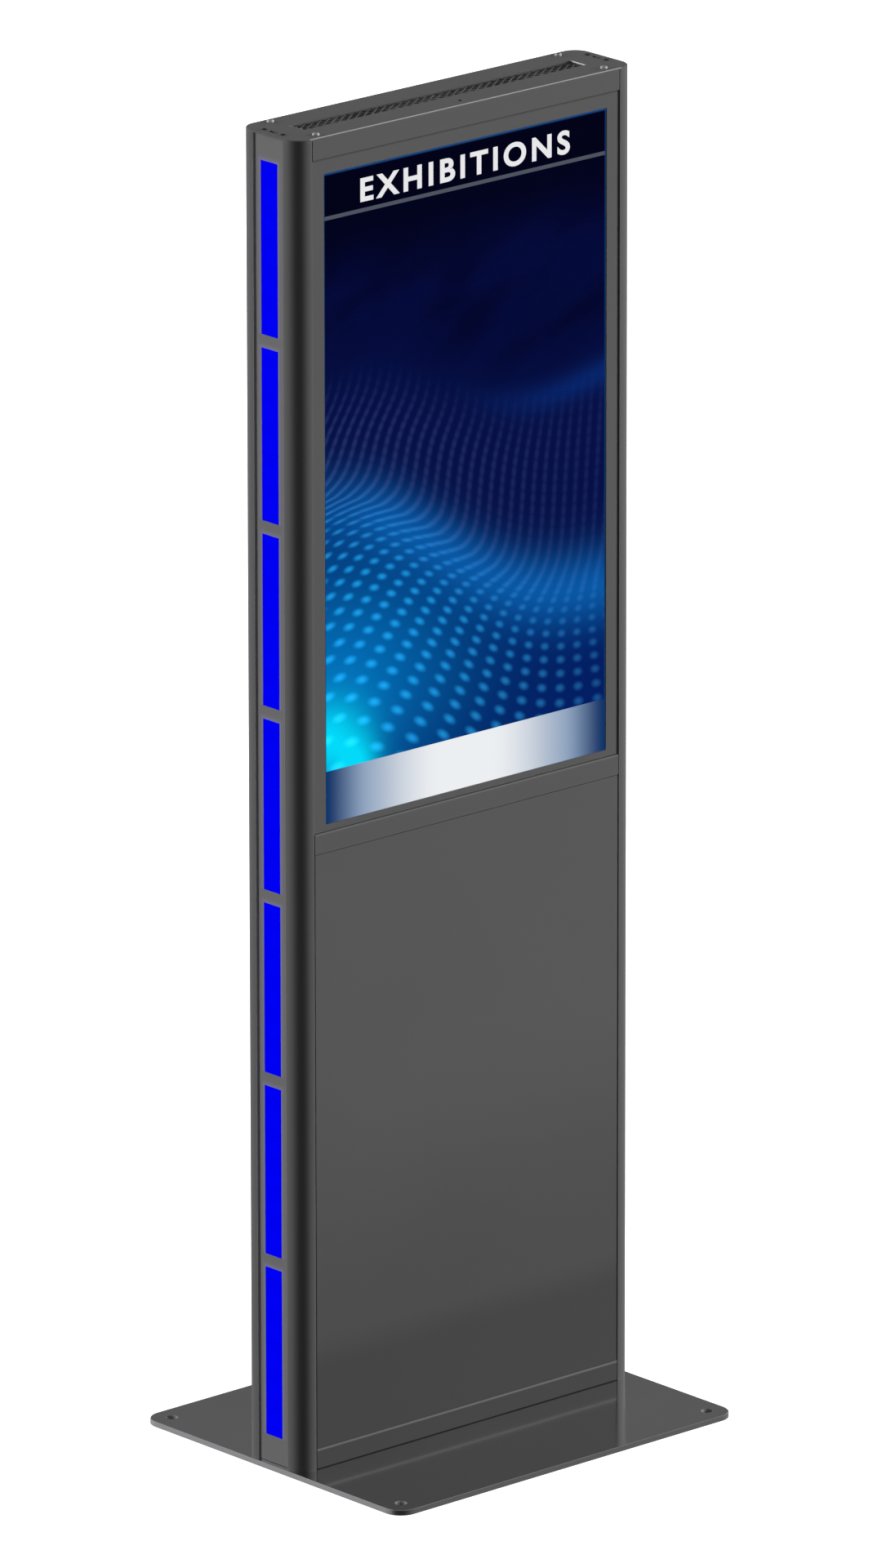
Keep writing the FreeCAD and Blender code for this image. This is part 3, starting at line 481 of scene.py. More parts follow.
# %% Metals, plastics and rubber
FINISHES = {
    "zinc_steel": finish("zinc_steel", (0.50, 0.51, 0.53), 0.38, 0.55, brush=(6, 500, 500),
                         clouds=(0.95, 1.04), cloud_scale=30.0),
    "bright_steel": finish("bright_steel", (0.72, 0.72, 0.74), 0.22, 1.0, clouds=(0.9, 1.08),
                           cloud_scale=90.0),
    "raw_aluminium": finish("raw_aluminium", (0.60, 0.61, 0.63), 0.40, 0.6, brush=(5, 300, 300),
                            clouds=(0.95, 1.03), cloud_scale=12.0),
    "lcd": finish("display_film", (0.012, 0.013, 0.02), 0.3, clouds=(0.9, 1.1)),
    "black_plastic": finish("black_plastic", (0.022, 0.022, 0.024), 0.5, grain=700.0, bump=0.25,
                            clouds=(0.85, 1.15), cloud_scale=25.0),
    "grey_plastic": finish("grey_plastic", (0.36, 0.37, 0.38), 0.5, grain=700.0, bump=0.2,
                           clouds=(0.94, 1.04), cloud_scale=20.0),
    "light_plastic": finish("light_plastic", (0.68, 0.68, 0.65), 0.42, grain=700.0, bump=0.2,
                            clouds=(0.96, 1.03), cloud_scale=20.0),
    "orange_plastic": finish("orange_plastic", (0.75, 0.10, 0.015), 0.3, clouds=(0.92, 1.04),
                             cloud_scale=40.0),
    "seal": finish("seal_rubber", (0.016, 0.016, 0.017), 0.75, grain=500.0, bump=0.4,
                   clouds=(0.8, 1.2), cloud_scale=40.0, specular=0.3),
}
print("finishes:", ", ".join(FINISHES))


# %% [markdown]
# ## Putting the finishes on the frame's parts
# Every part of the frame comes with one plain material, named after its slot.  Coated parts get
# their own copy of the coat; the screws on the cap and at its ends have finishes of their own;
# all other parts share the finish of their slot.

# %% Dress the frame's parts
CAP_SCREW_X = 0.2690
CAP_SCREW_Y = 0.0475


def slot_of(node):
    """Name of the material slot that a part came with."""
    return nodes[node].data.materials[0].name.split(".")[0]


def corner_distance(tree, corner_x, corner_y):
    """Distance in plan from the nearest of four axes at (+-corner_x, +-corner_y)."""
    x, y = object_axes(tree)[:2]
    dx = x.op("ABSOLUTE") - corner_x
    dy = y.op("ABSOLUTE") - corner_y
    return (dx * dx + dy * dy).op("SQRT")


def grey_screw_finish():
    """Grey screw heads whose socket is painted shade; the tone depends on the distance from the
    axis.
    """
    material = finish("grey_cap_screws", (0.40, 0.40, 0.41), 0.5, clouds=(0.9, 1.1),
                      cloud_scale=120.0)
    from_axis = corner_distance(material.node_tree, CAP_SCREW_X, CAP_SCREW_Y)
    # The dark socket in the middle of each head is painted shade.
    paint_over(material, SHADE_TONE, from_axis.step(0.0026, 0.0022))
    return material


def dress(wanted, material):
    """Give a material to every part of one slot."""
    for node, slot in SLOTS.items():
        if slot == wanted:
            nodes[node].data.materials[0] = material


SLOTS = {node: slot_of(node) for node in nodes}
screw_steel = finish("blackened_screws", (0.16, 0.16, 0.165), 0.45, 1.0, clouds=(0.85, 1.1),
                     cloud_scale=120.0)
grey_cap_screws = grey_screw_finish()
for node, slot in SLOTS.items():
    if slot == "powder_coat":
        nodes[node].data.materials[0] = coat_for(node)
    elif node == "cap_screws":
        nodes[node].data.materials[0] = grey_cap_screws
    elif node == "end_screws":
        nodes[node].data.materials[0] = screw_steel
    elif slot in FINISHES:
        nodes[node].data.materials[0] = FINISHES[slot]
print("still to dress:", sorted(n for n in nodes if SLOTS[n] not in FINISHES
                                and SLOTS[n] != "powder_coat"))


# %% [markdown]
# ## Floor plate
# The plate is cut from 8 mm steel and polished, and it mirrors the body's foot almost without a
# seam.  Only the top is polished: the cut edges and the countersinks stay dull, so a mask of the
# height and of the distance from each hole switches the metal off there.  The left cut edge gets a
# painted highlight, the countersinks a grey that is a painted glint, and the top's edges painted
# shade.

# %% Floor plate coat
PLATE_TINT = (0.90, 0.90, 0.91)
CUT_EDGE = (0.12, 0.12, 0.125)
# Painted highlight on the left cut edge.
LEFT_EDGE_HIGHLIGHT = (0.29, 0.29, 0.30)
# Countersinks: dull, and painted grey as a painted glint.
COUNTERSINK_GLINT = (0.16, 0.16, 0.165)
PLATE_TOP = 0.008
FLOOR_HOLE_X = 0.2925
FLOOR_HOLE_Y = 0.245
HOLE_RIM = (0.0089, 0.0083)     # radii between which the polish ends at a countersink


def plate_finish():
    """Polished top; dull cut edges with a painted highlight on the left, dull countersinks painted
    grey as a glint, painted shade on edges.
    """
    low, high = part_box("base_plate")
    material = finish("plate_polish", PLATE_TINT, 0.12, 1.0, bump=0.004, grain=1600.0,
                      clouds=(0.985, 1.015), edge=(tuple(low), tuple(high), 0.0012),
                      edge_light_shade=0.75)
    tree = material.node_tree
    shader = tree.nodes["Principled BSDF"]
    x, _, z = object_axes(tree)
    side = z.step(PLATE_TOP - 0.0001, PLATE_TOP - 0.0006)
    left = x.step(low.x + 0.0045, low.x + 0.0010)
    paint_over(material, mix_colour(tree, CUT_EDGE, LEFT_EDGE_HIGHLIGHT, left), side)
    hole = corner_distance(tree, FLOOR_HOLE_X, FLOOR_HOLE_Y).step(*HOLE_RIM)
    paint_over(material, COUNTERSINK_GLINT, hole)
    dull = side.op("MAXIMUM", hole)
    tree.links.new(dull.minus_from(1.0).socket, shader.inputs["Metallic"])
    rough = Term(tree, shader.inputs["Roughness"].links[0].from_socket)
    tree.links.new((rough + dull * 0.4).socket, shader.inputs["Roughness"])
    return material


nodes["base_plate"].data.materials[0] = plate_finish()


# %% [markdown]
# ## Side covers
# The covers are a lighter grey strip with seven windows.  The lamps behind light the paint next
# to each window a little, which is painted here as a glow that fades with the distance from the
# nearest window.

# %% Side cover coat
COVER_GREY = (0.145, 0.145, 0.147)
WINDOWS = 7
WINDOW_START = 0.048
WINDOW_PITCH = 0.269
WINDOW_HEIGHT = 0.250
WINDOW_HALF = 0.0175
WINDOW_END = WINDOW_START + (WINDOWS - 1) * WINDOW_PITCH + WINDOW_HEIGHT
LAMP_BLUE = (0.0, 0.0, 1.0)
LAMP_PITCH = 0.045              # between the lamps behind a window
BLACK = (0.0, 0.0, 0.0)


def window_distance(y, z):
    """Distance in the cover's plane from the nearest window's edge, below zero inside it."""
    turn = ((z - WINDOW_START) / WINDOW_PITCH).op("FRACT") * WINDOW_PITCH
    above = (turn - WINDOW_HEIGHT / 2).op("ABSOLUTE") - WINDOW_HEIGHT / 2
    below_first = z.minus_from(WINDOW_START)
    above_last = z - WINDOW_END
    beside = y.op("ABSOLUTE") - WINDOW_HALF
    return above.op("MAXIMUM", beside).op("MAXIMUM", below_first).op("MAXIMUM", above_last)


def shine(tree, colour):
    """Let the tree's shader give off a colour of its own."""
    shader = tree.nodes["Principled BSDF"]
    tree.links.new(colour, shader.inputs["Emission Color"])
    shader.inputs["Emission Strength"].default_value = 1.0


def cover_finish():
    """The body's coat in a lighter grey, with a faint blue glow beside the windows."""
    material = finish("side_cover_coat", COVER_GREY, 0.5, **EVEN_COAT)
    tree = material.node_tree
    y, z = object_axes(tree)[1:]
    glow = window_distance(y, z).op("MAXIMUM", 0.0).bell(0.0045) * 0.10
    shine(tree, mix_colour(tree, BLACK, (0.35, 0.3, 1.0), glow))
    return material


def lamp_finish():
    """Milky blue block: even glow, a touch weaker at its rim, with faint lamp spots behind."""
    material, tree, shader = new_material("lamp_window")
    y, z = object_axes(tree)[1:]
    turn = ((z - WINDOW_START) / WINDOW_PITCH).op("FRACT") * WINDOW_PITCH
    spot = ((turn / LAMP_PITCH).op("FRACT") - 0.5) * 2.0
    spots = spot.bell(0.9) * y.bell(0.02)
    rim = (y.op("ABSOLUTE") - WINDOW_HALF).bell(0.0012)
    power = (spots * 0.05 + 0.84 - rim * 0.25).clamp()
    shine(tree, mix_colour(tree, BLACK, LAMP_BLUE, power))
    tree.links.new(mix_colour(tree, (0.0, 0.0, 0.01), (0.0, 0.0, 0.02), power),
                   shader.inputs["Base Color"])
    shader.inputs["Roughness"].default_value = 0.6
    shader.inputs["Specular IOR Level"].default_value = 0.02
    return material


dress("cover_coat", cover_finish())
dress("blue_light", lamp_finish())
print("windows from", WINDOW_START, "to", round(WINDOW_END, 3), "m")


# %% [markdown]
# ## Circuit boards
# A board is green varnish over copper, and fine traces show through it in two directions.  Two
# sets of stripes, which take turns in patches of noise, are enough at this size.

# %% Board finish
TRACK_PITCH = 0.0012


def board_finish():
    """Green varnish with traces across in some patches and along in the others."""
    material = finish("circuit_board", (0.010, 0.085, 0.028), 0.30, clouds=(0.8, 1.2),
                      cloud_scale=60.0)
    tree = material.node_tree
    x, _, z = object_axes(tree)
    patches = noise(tree, whole_place(tree), 120.0, 0.0).step(0.48, 0.52)
    across = ((x / TRACK_PITCH).op("FRACT") - 0.5).op("ABSOLUTE").step(0.18, 0.10)
    along = ((z / TRACK_PITCH).op("FRACT") - 0.5).op("ABSOLUTE").step(0.18, 0.10)
    traces = across * patches + along * patches.minus_from(1.0)
    paint_over(material, (0.03, 0.22, 0.07), traces)
    return material


dress("board", board_finish())
print("boards:", [node for node, slot in SLOTS.items() if slot == "board"])


# %% [markdown]
# ## The picture on the display
# The display shows a welcome screen: a dark header, a sea of small lights that runs in waves
# from near to far, and a bright footer.  All of it is a formula of the place on the glass:
# `u` runs from left to right, `t` from top to bottom, both from 0 to 1.

# %% Waves and dots
def wave_heights(u, t):
    """Distance below the near crest (a) and below the far one (b); both crests are sines."""
    ripple = (u * 5.652 + 0.7536).op("SINE")
    a = t - (u * 0.205 - ripple * 0.030 + 0.515)
    far_ripple = (u * 5.966 + 0.628).op("SINE")
    return a, t - (u * 0.07 - far_ripple * 0.030 + 0.345)


def wave_dots(u, a, b):
    """Rows q and columns p crowd together at the crest; a dot fills the middle of each cell."""
    left = u.minus_from(1.0)
    low = a.clamp()
    bend = (a / 0.03).op("TANH")
    q = a * 58.0 - low * low * 42.0 + bend * 1.6
    density = low * -84.0 + (bend * bend).minus_from(1.0) * (1.6 / 0.03) + 58.0
    width = low * 0.070 + 0.039
    lean = ((a - 0.012) / 0.045).op("TANH") * (left * 2.6 + 0.6)
    far_lean = ((b - 0.05) / 0.05).op("TANH") * left * 1.6
    p = (u - 0.75) / width + lean + far_lean + a * 3.0
    cell_p = p.op("FRACT") - 0.5
    cell_q = q.op("FRACT") - 0.5
    ratio = (density * width).op("POWER", -1.0) * 2.0
    streak = a.step(0.055, -0.01) * 0.60 + (a + 0.005).bell(0.035) * 0.28
    squeezed = cell_q * ratio.op("MINIMUM", 1.3) * streak.minus_from(1.0)
    reach = (cell_p * cell_p + squeezed * squeezed).op("SQRT")
    return reach.step(0.37, 0.0) * b.step(-0.03, 0.09)


def night_wisps(tree, u, t):
    """Long soft clouds that lie aslant in the dark upper part, from 0.4 to about 1.4."""
    join = tree.nodes.new("ShaderNodeCombineXYZ")
    tree.links.new((u * 1.6 - t * 0.8).socket, join.inputs["X"])
    tree.links.new((t * 7.0 + u * 1.8).socket, join.inputs["Y"])
    return noise(tree, join.outputs[0], 1.3, 3.0).step(0.25, 0.75) + 0.4


def round_glow(u, t, centre_u, centre_t, reach_u, reach_t):
    """exp(-d^2) round a centre, with its own reach in each direction."""
    du = (u - centre_u) / reach_u
    dt = (t - centre_t) / reach_t
    return ((du * du + dt * dt) * -1.0).op("EXPONENT")


# %% [markdown]
# The colours are laid over each other from far to near: night sky, far water, near water, the
# glow along both crests, the haze and the bright lower corner, and the dots last.

# %% Sea of lights
def sea_of_lights(tree, u, t):
    """Colour socket: dots on a wave surface, a glowing crest, and light in one lower corner."""
    a, b = wave_heights(u, t)
    dots = wave_dots(u, a, b)
    lit = a.step(-0.05, 0.12) * (u.step(1.10, 0.15) * 0.80 + 0.20)
    crest_glow = (a - 0.025).bell(0.055) * (u.step(0.0, 0.25) * 0.35 + 0.65)
    under = a.step(0.0, 0.10)
    far_glow = b.bell(0.022) * u.step(0.40, 1.0) * 0.42
    corner = round_glow(u, t, 0.0, 0.87, 0.12, 0.055) + round_glow(u, t, 0.11, 0.93, 0.07, 0.05)
    haze = round_glow(u, t, 0.0, 0.80, 0.42, 0.17) * under * 0.8
    colour = mix_colour(tree, (0.0, 0.0003, 0.011), (0.0004, 0.0022, 0.040),
                        t.step(0.08, 0.22) * night_wisps(tree, u, t))
    colour = mix_colour(tree, colour, (0.0012, 0.0050, 0.066), b.step(-0.12, 0.06) * 0.9)
    colour = mix_colour(tree, colour, (0.0, 0.012, 0.125), under * 0.95)
    colour = mix_colour(tree, colour, (0.002, 0.105, 0.40), crest_glow * 0.88)
    colour = mix_colour(tree, colour, (0.002, 0.035, 0.26), far_glow)
    colour = mix_colour(tree, colour, (0.0, 0.20, 0.58), haze)
    colour = mix_colour(tree, colour, (0.0, 0.70, 0.95), corner.clamp())
    far_dots = mix_colour(tree, (0.009, 0.016, 0.070), (0.028, 0.044, 0.125),
                          u.minus_from(1.0))
    dot_colour = mix_colour(tree, far_dots, (0.012, 0.30, 0.62), lit)
    strength = dots * (a.step(-0.1, 0.15) * 0.30 + 0.50)
    added = tree.nodes.new("ShaderNodeMix")
    added.data_type = "RGBA"
    added.blend_type = "ADD"
    tree.links.new(strength.socket, added.inputs["Factor"])
    tree.links.new(colour, added.inputs["A"])
    tree.links.new(dot_colour, added.inputs["B"])
    return added.outputs["Result"]


# %% [markdown]
# The header and the footer are bands over that sea.  The footer is lightest in the middle.  The
# whole picture is limited to the glass's front face, so its edges stay black.

# %% Display glass
SCREEN_LEFT = -0.26465
SCREEN_WIDTH = 0.5293
SCREEN_TOP = 1.89798
SCREEN_HEIGHT = 0.94098
GLASS_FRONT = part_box("touch_glass")[0].y
HEADER_END = 0.0665             # shares of the picture's height, from the top
HEADER_LINE_END = 0.0725
FOOTER_START = 0.9192


def display_finish():
    """Black glass that shows the picture on its front face."""
    material, tree, shader = new_material("display_glass")
    x, y, z = object_axes(tree)
    u = (x - SCREEN_LEFT) / SCREEN_WIDTH
    t = (z * -1.0 + SCREEN_TOP) / SCREEN_HEIGHT
    colour = sea_of_lights(tree, u, t)
    inwards = (u - 0.5).op("ABSOLUTE").minus_from(0.5)
    foot = mix_colour(tree, (0.004, 0.035, 0.14), (0.24, 0.34, 0.50), inwards.step(0.0, 0.16))
    foot = mix_colour(tree, foot, (0.84, 0.86, 0.88), inwards.step(0.08, 0.42))
    colour = mix_colour(tree, colour, foot, t.op("GREATER_THAN", FOOTER_START))
    colour = mix_colour(tree, colour, (0.075, 0.085, 0.115), t.op("LESS_THAN", HEADER_LINE_END))
    colour = mix_colour(tree, colour, (0.0, 0.0, 0.008), t.op("LESS_THAN", HEADER_END))
    rim = inwards.step(0.007, 0.002)
    colour = mix_colour(tree, colour, (0.006, 0.035, 0.11), rim * t.op("LESS_THAN", FOOTER_START))
    colour = mix_colour(tree, colour, (0.010, 0.060, 0.20), t.step(0.005, 0.002))
    shine(tree, mix_colour(tree, BLACK, colour, y.op("LESS_THAN", GLASS_FRONT + 0.0001)))
    smears = noise(tree, whole_place(tree), 9.0, 4.0)
    tree.links.new((smears * 0.15 + 0.20).socket, shader.inputs["Roughness"])
    tree.links.new(mix_colour(tree, (0.0005, 0.0005, 0.001), (0.001, 0.001, 0.002), smears),
                   shader.inputs["Base Color"])
    shader.inputs["Specular IOR Level"].default_value = 0.02
    return material


display_glass = display_finish()
dress("front_glass", display_glass)
print("display picture:", len(display_glass.node_tree.nodes), "shader nodes")


# %% [markdown]
# ## Building surfaces from formulas
# New pieces are computed as whole arrays: a grid of points, and the quads between neighbours.
# One helper turns arrays into a mesh object that rides on a body of the kiosk; two more list the
# faces of bars that are closed at both ends.

# %% Mesh helpers
def grid_quads(rows, columns, wrap_rows=False, wrap_columns=False, start=0):
    """Quads of a rows x columns grid of points, numbered row by row from start."""
    r = np.arange(rows if wrap_rows else rows - 1)
    c = np.arange(columns if wrap_columns else columns - 1)
    r, c = (v.ravel() for v in np.meshgrid(r, c, indexing="ij"))
    r2 = (r + 1) % rows
    c2 = (c + 1) % columns
    return np.stack([r * columns + c, r * columns + c2, r2 * columns + c2, r2 * columns + c],
                    axis=1) + start


def add_piece(name, points, faces, material, body, smooth=True):
    """Mesh object from arrays, faces turned outwards, riding on a body."""
    mesh = bpy.data.meshes.new(name)
    mesh.from_pydata(np.asarray(points).reshape(-1, 3).tolist(), [], [list(f) for f in faces])
    shell = bmesh.new()
    shell.from_mesh(mesh)
    bmesh.ops.remove_doubles(shell, verts=shell.verts, dist=1e-6)
    bmesh.ops.dissolve_degenerate(shell, edges=shell.edges, dist=1e-7)
    bmesh.ops.recalc_face_normals(shell, faces=shell.faces)
    shell.to_mesh(mesh)
    shell.free()
    mesh.polygons.foreach_set("use_smooth", np.full(len(mesh.polygons), smooth))
    mesh.materials.append(material)
    piece = bpy.data.objects.new(name, mesh)
    bpy.context.scene.collection.objects.link(piece)
    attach(piece, body)
    print(name, len(mesh.polygons), "faces on", body)
    return piece


def bar_faces(rows, count, start=0):
    """Faces of a closed section of count points drawn along rows, with both ends shut."""
    loop = start + np.arange(count)
    ends = [loop[::-1], loop + (rows - 1) * count]
    return list(grid_quads(rows, count, wrap_columns=True, start=start)) + ends


def many_bars(bars, rows, count, start=0):
    """Faces of several such bars whose points follow each other."""
    return [face for k in range(bars) for face in bar_faces(rows, count, start + k * rows * count)]


def sharpen(piece, degrees=35.0):
    """Mark edges sharper than an angle, so that smooth shading keeps its corners."""
    piece.data.set_sharp_from_angle(angle=math.radians(degrees))
    return piece


# %% [markdown]
# ## Heading
# The header band carries one generic word.  On a real display it is part of the picture; here it
# is a film of letters on the glass, because letters are hard to write as a formula.

# %% Heading letters
HEADING_LEFT = -0.1960
HEADING_RIGHT = 0.1960
HEADING_LOW = 1.8440
HEADING_HIGH = 1.8790
FILM = 0.00015                  # thickness of the letters


def letters_material():
    """White light with the faint unevenness of a display's pixels."""
    material, tree, shader = new_material("heading_light")
    tone = noise(tree, whole_place(tree), 400.0, 1.0)
    shine(tree, mix_colour(tree, (0.74, 0.74, 0.76), (0.82, 0.82, 0.84), tone))
    tree.links.new(mix_colour(tree, (0.02, 0.02, 0.02), (0.03, 0.03, 0.03), tone),
                   shader.inputs["Base Color"])
    shader.inputs["Roughness"].default_value = 0.3
    return material


def heading(word):
    """Text turned into a mesh, scaled to its band and stood up on the glass."""
    curve = bpy.data.curves.new("heading", "FONT")
    curve.body = word
    curve.extrude = 0.5
    curve.offset = 0.030
    curve.space_character = 1.30
    curve.resolution_u = 6
    writer = bpy.data.objects.new("heading", curve)
    bpy.context.scene.collection.objects.link(writer)
    bpy.context.view_layer.update()
    mesh = bpy.data.meshes.new_from_object(writer)
    bpy.data.objects.remove(writer)
    points = np.zeros(len(mesh.vertices) * 3)
    mesh.vertices.foreach_get("co", points)
    points = points.reshape(-1, 3)
    share = (points - points.min(0)) / np.ptp(points, axis=0)
    placed = np.stack([HEADING_LEFT + share[:, 0] * (HEADING_RIGHT - HEADING_LEFT),
                       GLASS_FRONT - share[:, 2] * FILM,
                       HEADING_LOW + share[:, 1] * (HEADING_HIGH - HEADING_LOW)], axis=1)
    faces = [tuple(p.vertices) for p in mesh.polygons]
    bpy.data.meshes.remove(mesh)
    return sharpen(add_piece("heading_letters", placed, faces, letters_material(), "stele"))


heading("EXHIBITIONS")


# %% [markdown]
# ## Vent grille
# Under the long opening in the cap lies expanded metal: a sheet that is slit and pulled apart
# into diamonds.  Each strand is a zigzag ribbon, and neighbours zigzag the opposite way so that
# they meet at the knots.

# %% Expanded metal
VENT_LOW = 1.9475
VENT_HIGH = 1.9489
HALF_DIAMOND = 0.0075           # half of a diamond's length
STRAND_PITCH = 0.0055
STRAND_HALF = 0.0010
RIM_LAP = 0.0100                # of the sheet under the cap, round the opening
RIM_WIDTH = 0.0105


def ring_points(half_x, half_y, inset, low, high):
    """Four corners each of outer and inner rectangles, at the low and the high level."""
    corner = np.array([(-1, -1), (1, -1), (1, 1), (-1, 1)], float)
    outer = corner * (half_x, half_y)
    inner = corner * (half_x - inset, half_y - inset)
    loop = np.stack([outer, inner, inner, outer], axis=1)
    level = np.array([low, low, high, high])
    level = np.broadcast_to(level[None, :, None], (4, 4, 1))
    return np.concatenate([loop, level], axis=2)


def expanded_metal():
    """y = k*h + h/2 * triangle(x), the sign changing from strand to strand k."""
    h = STRAND_PITCH
    strands = int(2 * VENT_HALF_Y / h) + 2
    columns = int(2 * VENT_HALF_X / HALF_DIAMOND) + 1
    k = np.arange(strands)[:, None]
    i = np.arange(columns)[None, :]
    x = -VENT_HALF_X + i * (2 * VENT_HALF_X / (columns - 1)) + 0.0 * k
    zigzag = np.where((i + k) % 2 == 0, 1.0, -1.0)
    y = np.clip((k - (strands - 1) / 2) * h + zigzag * h / 2, -VENT_HALF_Y, VENT_HALF_Y)
    side = STRAND_HALF * np.array([-1.0, 1.0, 1.0, -1.0])
    level = np.array([VENT_LOW, VENT_LOW, VENT_HIGH, VENT_HIGH])
    ribbon = np.stack([x[..., None] + 0 * side, y[..., None] + side,
                       level + 0 * x[..., None]], axis=-1)
    quads = np.concatenate([grid_quads(columns, 4, wrap_columns=True, start=s * columns * 4)
                            for s in range(strands)])
    first = np.arange(strands)[:, None] * columns * 4
    caps = np.concatenate([first + [0, 1, 2, 3], first + (columns - 1) * 4 + [3, 2, 1, 0]])
    rim = ring_points(VENT_HALF_X + RIM_LAP, VENT_HALF_Y + RIM_LAP, RIM_WIDTH, VENT_LOW,
                      VENT_HIGH)
    rim_quads = grid_quads(4, 4, True, True, start=strands * columns * 4)
    points = np.concatenate([ribbon.reshape(-1, 3), rim.reshape(-1, 3)])
    return points, np.concatenate([quads, caps, rim_quads])


grille_metal = finish("vent_grille", (0.125, 0.125, 0.125), 0.5, clouds=(0.85, 1.15),
                      cloud_scale=40.0, bump=0.1)
points, faces = expanded_metal()
grille = add_piece("vent_grille", points, faces, grille_metal, "stele", False)
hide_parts("vent_mesh")


# %% [markdown]
# ## Fan rotors
# A fan's rotor is one moulding: a round hub with seven blades that twist from steep at the hub
# to flat at the tip.  A blade is a lens-shaped profile carried along the radius while it turns.

# %% Rotor surfaces
FAN_X = 0.130
ROTOR_LOW = 1.926
ROTOR_HIGH = 1.940
HUB_R = 0.0160
TIP_R = 0.0358
BLADES = 7
STATIONS = 14                   # sections along a blade
AROUND = 20                     # points round a section


def lathe(profile, centre, turns=48):
    """Profile points (radius, z) turned round a vertical axis through centre."""
    angle = np.linspace(0, 2 * np.pi, turns, endpoint=False)[:, None]
    radius, z = profile[:, 0][None], profile[:, 1][None]
    return np.stack([centre[0] + radius * np.cos(angle), centre[1] + radius * np.sin(angle),
                     z + 0 * angle], axis=-1)


def hub_profile():
    """Rounded cap with a bore from below, as points (radius, z)."""
    soft = 0.002
    return np.array([
        (0.0017, ROTOR_LOW), (HUB_R - 0.0005, ROTOR_LOW), (HUB_R, ROTOR_LOW + 0.0005),
        (HUB_R, ROTOR_HIGH - soft), (HUB_R - 0.0006, ROTOR_HIGH - 0.0006),
        (HUB_R - soft, ROTOR_HIGH), (0.004, ROTOR_HIGH), (0.0035, ROTOR_HIGH - 0.0004),
        (0.0, ROTOR_HIGH - 0.0004), (0.0, ROTOR_HIGH - 0.0015), (0.0017, ROTOR_HIGH - 0.0018)])


def rotor(x):
    """Hub profile turned on a lathe, plus BLADES twisted lens sections swept outwards."""
    hub = lathe(hub_profile(), (x, 0.0))
    out = np.linspace(0, 1, STATIONS)[None, :, None]
    around = np.linspace(0, 2 * np.pi, AROUND, endpoint=False)[None, None, :]
    blade = np.arange(BLADES)[:, None, None] * (2 * np.pi / BLADES)
    radius = HUB_R - 0.001 + out * (TIP_R - HUB_R + 0.001)
    pitch = np.radians(42 - 18 * out)
    chord = (0.0085 + 0.0035 * out) * np.cos(around)
    thick = (0.0010 - 0.0003 * out) * np.sin(around)
    sweep = 0.16 * out ** 2 + (chord * np.cos(pitch) - thick * np.sin(pitch)) / radius
    arch = 0.0012 * (1 - (chord / 0.012) ** 2)
    z = 0.5 * (ROTOR_LOW + ROTOR_HIGH) + chord * np.sin(pitch) + thick * np.cos(pitch) + arch
    angle = blade + sweep
    blades = np.stack([x + radius * np.cos(angle), radius * np.sin(angle), z + 0 * angle], axis=-1)
    faces = list(grid_quads(*hub.shape[:2], wrap_rows=True, wrap_columns=True))
    start = hub.shape[0] * hub.shape[1]
    faces += many_bars(BLADES, STATIONS, AROUND, start)
    return np.concatenate([hub.reshape(-1, 3), blades.reshape(-1, 3)]), faces


for side, x in (("left", -FAN_X), ("right", FAN_X)):
    points, faces = rotor(x)
    piece = add_piece("rotor_" + side, points, faces, FINISHES["black_plastic"], "fan_" + side)
    sharpen(piece, 40.0)
    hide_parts("fan_rotor_" + side)


# %% [markdown]
# Under each fan a wire guard keeps fingers out: round rings and four spokes, welded where they
# cross.

# %% Fan guards
WIRE = 0.0007                   # radius of the wire
WIRE_SIDES = 6
RING_RADII = np.array([0.010, 0.017, 0.024, 0.031, 0.038])
RING_STEPS = 48
SPOKES = 4
SPOKE_STEPS = 6
SPOKE_START = 0.008
SPOKE_END = 0.0465
GUARD_Z = ROTOR_LOW - 0.0052
WIRE_TURN = np.linspace(0, 2 * np.pi, WIRE_SIDES, endpoint=False)[None, None, :]


def ring_tubes(x):
    """Circles of each radius with a round wire section."""
    turn = np.linspace(0, 2 * np.pi, RING_STEPS, endpoint=False)[None, :, None]
    radius = RING_RADII[:, None, None] + WIRE * np.cos(WIRE_TURN)
    return np.stack([x + radius * np.cos(turn), radius * np.sin(turn),
                     GUARD_Z + WIRE * np.sin(WIRE_TURN) + 0 * radius * turn], axis=-1)


def spoke_tubes(x):
    """Straight wires lying on the rings, outwards to the housing's corners."""
    angle = (np.pi / 4 + np.arange(SPOKES) * np.pi / 2)[:, None, None]
    along = np.linspace(SPOKE_START, SPOKE_END, SPOKE_STEPS)[None, :, None]
    across = WIRE * np.cos(WIRE_TURN)
    return np.stack([x + along * np.cos(angle) - across * np.sin(angle),
                     along * np.sin(angle) + across * np.cos(angle),
                     GUARD_Z + WIRE + WIRE * np.sin(WIRE_TURN) + 0 * along * angle], axis=-1)


def fan_guard(x):
    """Five rings and four spokes just under the fan housing."""
    rings, spokes = ring_tubes(x), spoke_tubes(x)
    size = RING_STEPS * WIRE_SIDES
    faces = [face for k in range(len(RING_RADII))
             for face in grid_quads(RING_STEPS, WIRE_SIDES, True, True, start=k * size)]
    faces += many_bars(SPOKES, SPOKE_STEPS, WIRE_SIDES, len(RING_RADII) * size)
    return np.concatenate([rings.reshape(-1, 3), spokes.reshape(-1, 3)]), faces


for side, x in (("left", -FAN_X), ("right", FAN_X)):
    points, faces = fan_guard(x)
    add_piece("fan_guard_" + side, points, faces, FINISHES["bright_steel"], "stele")


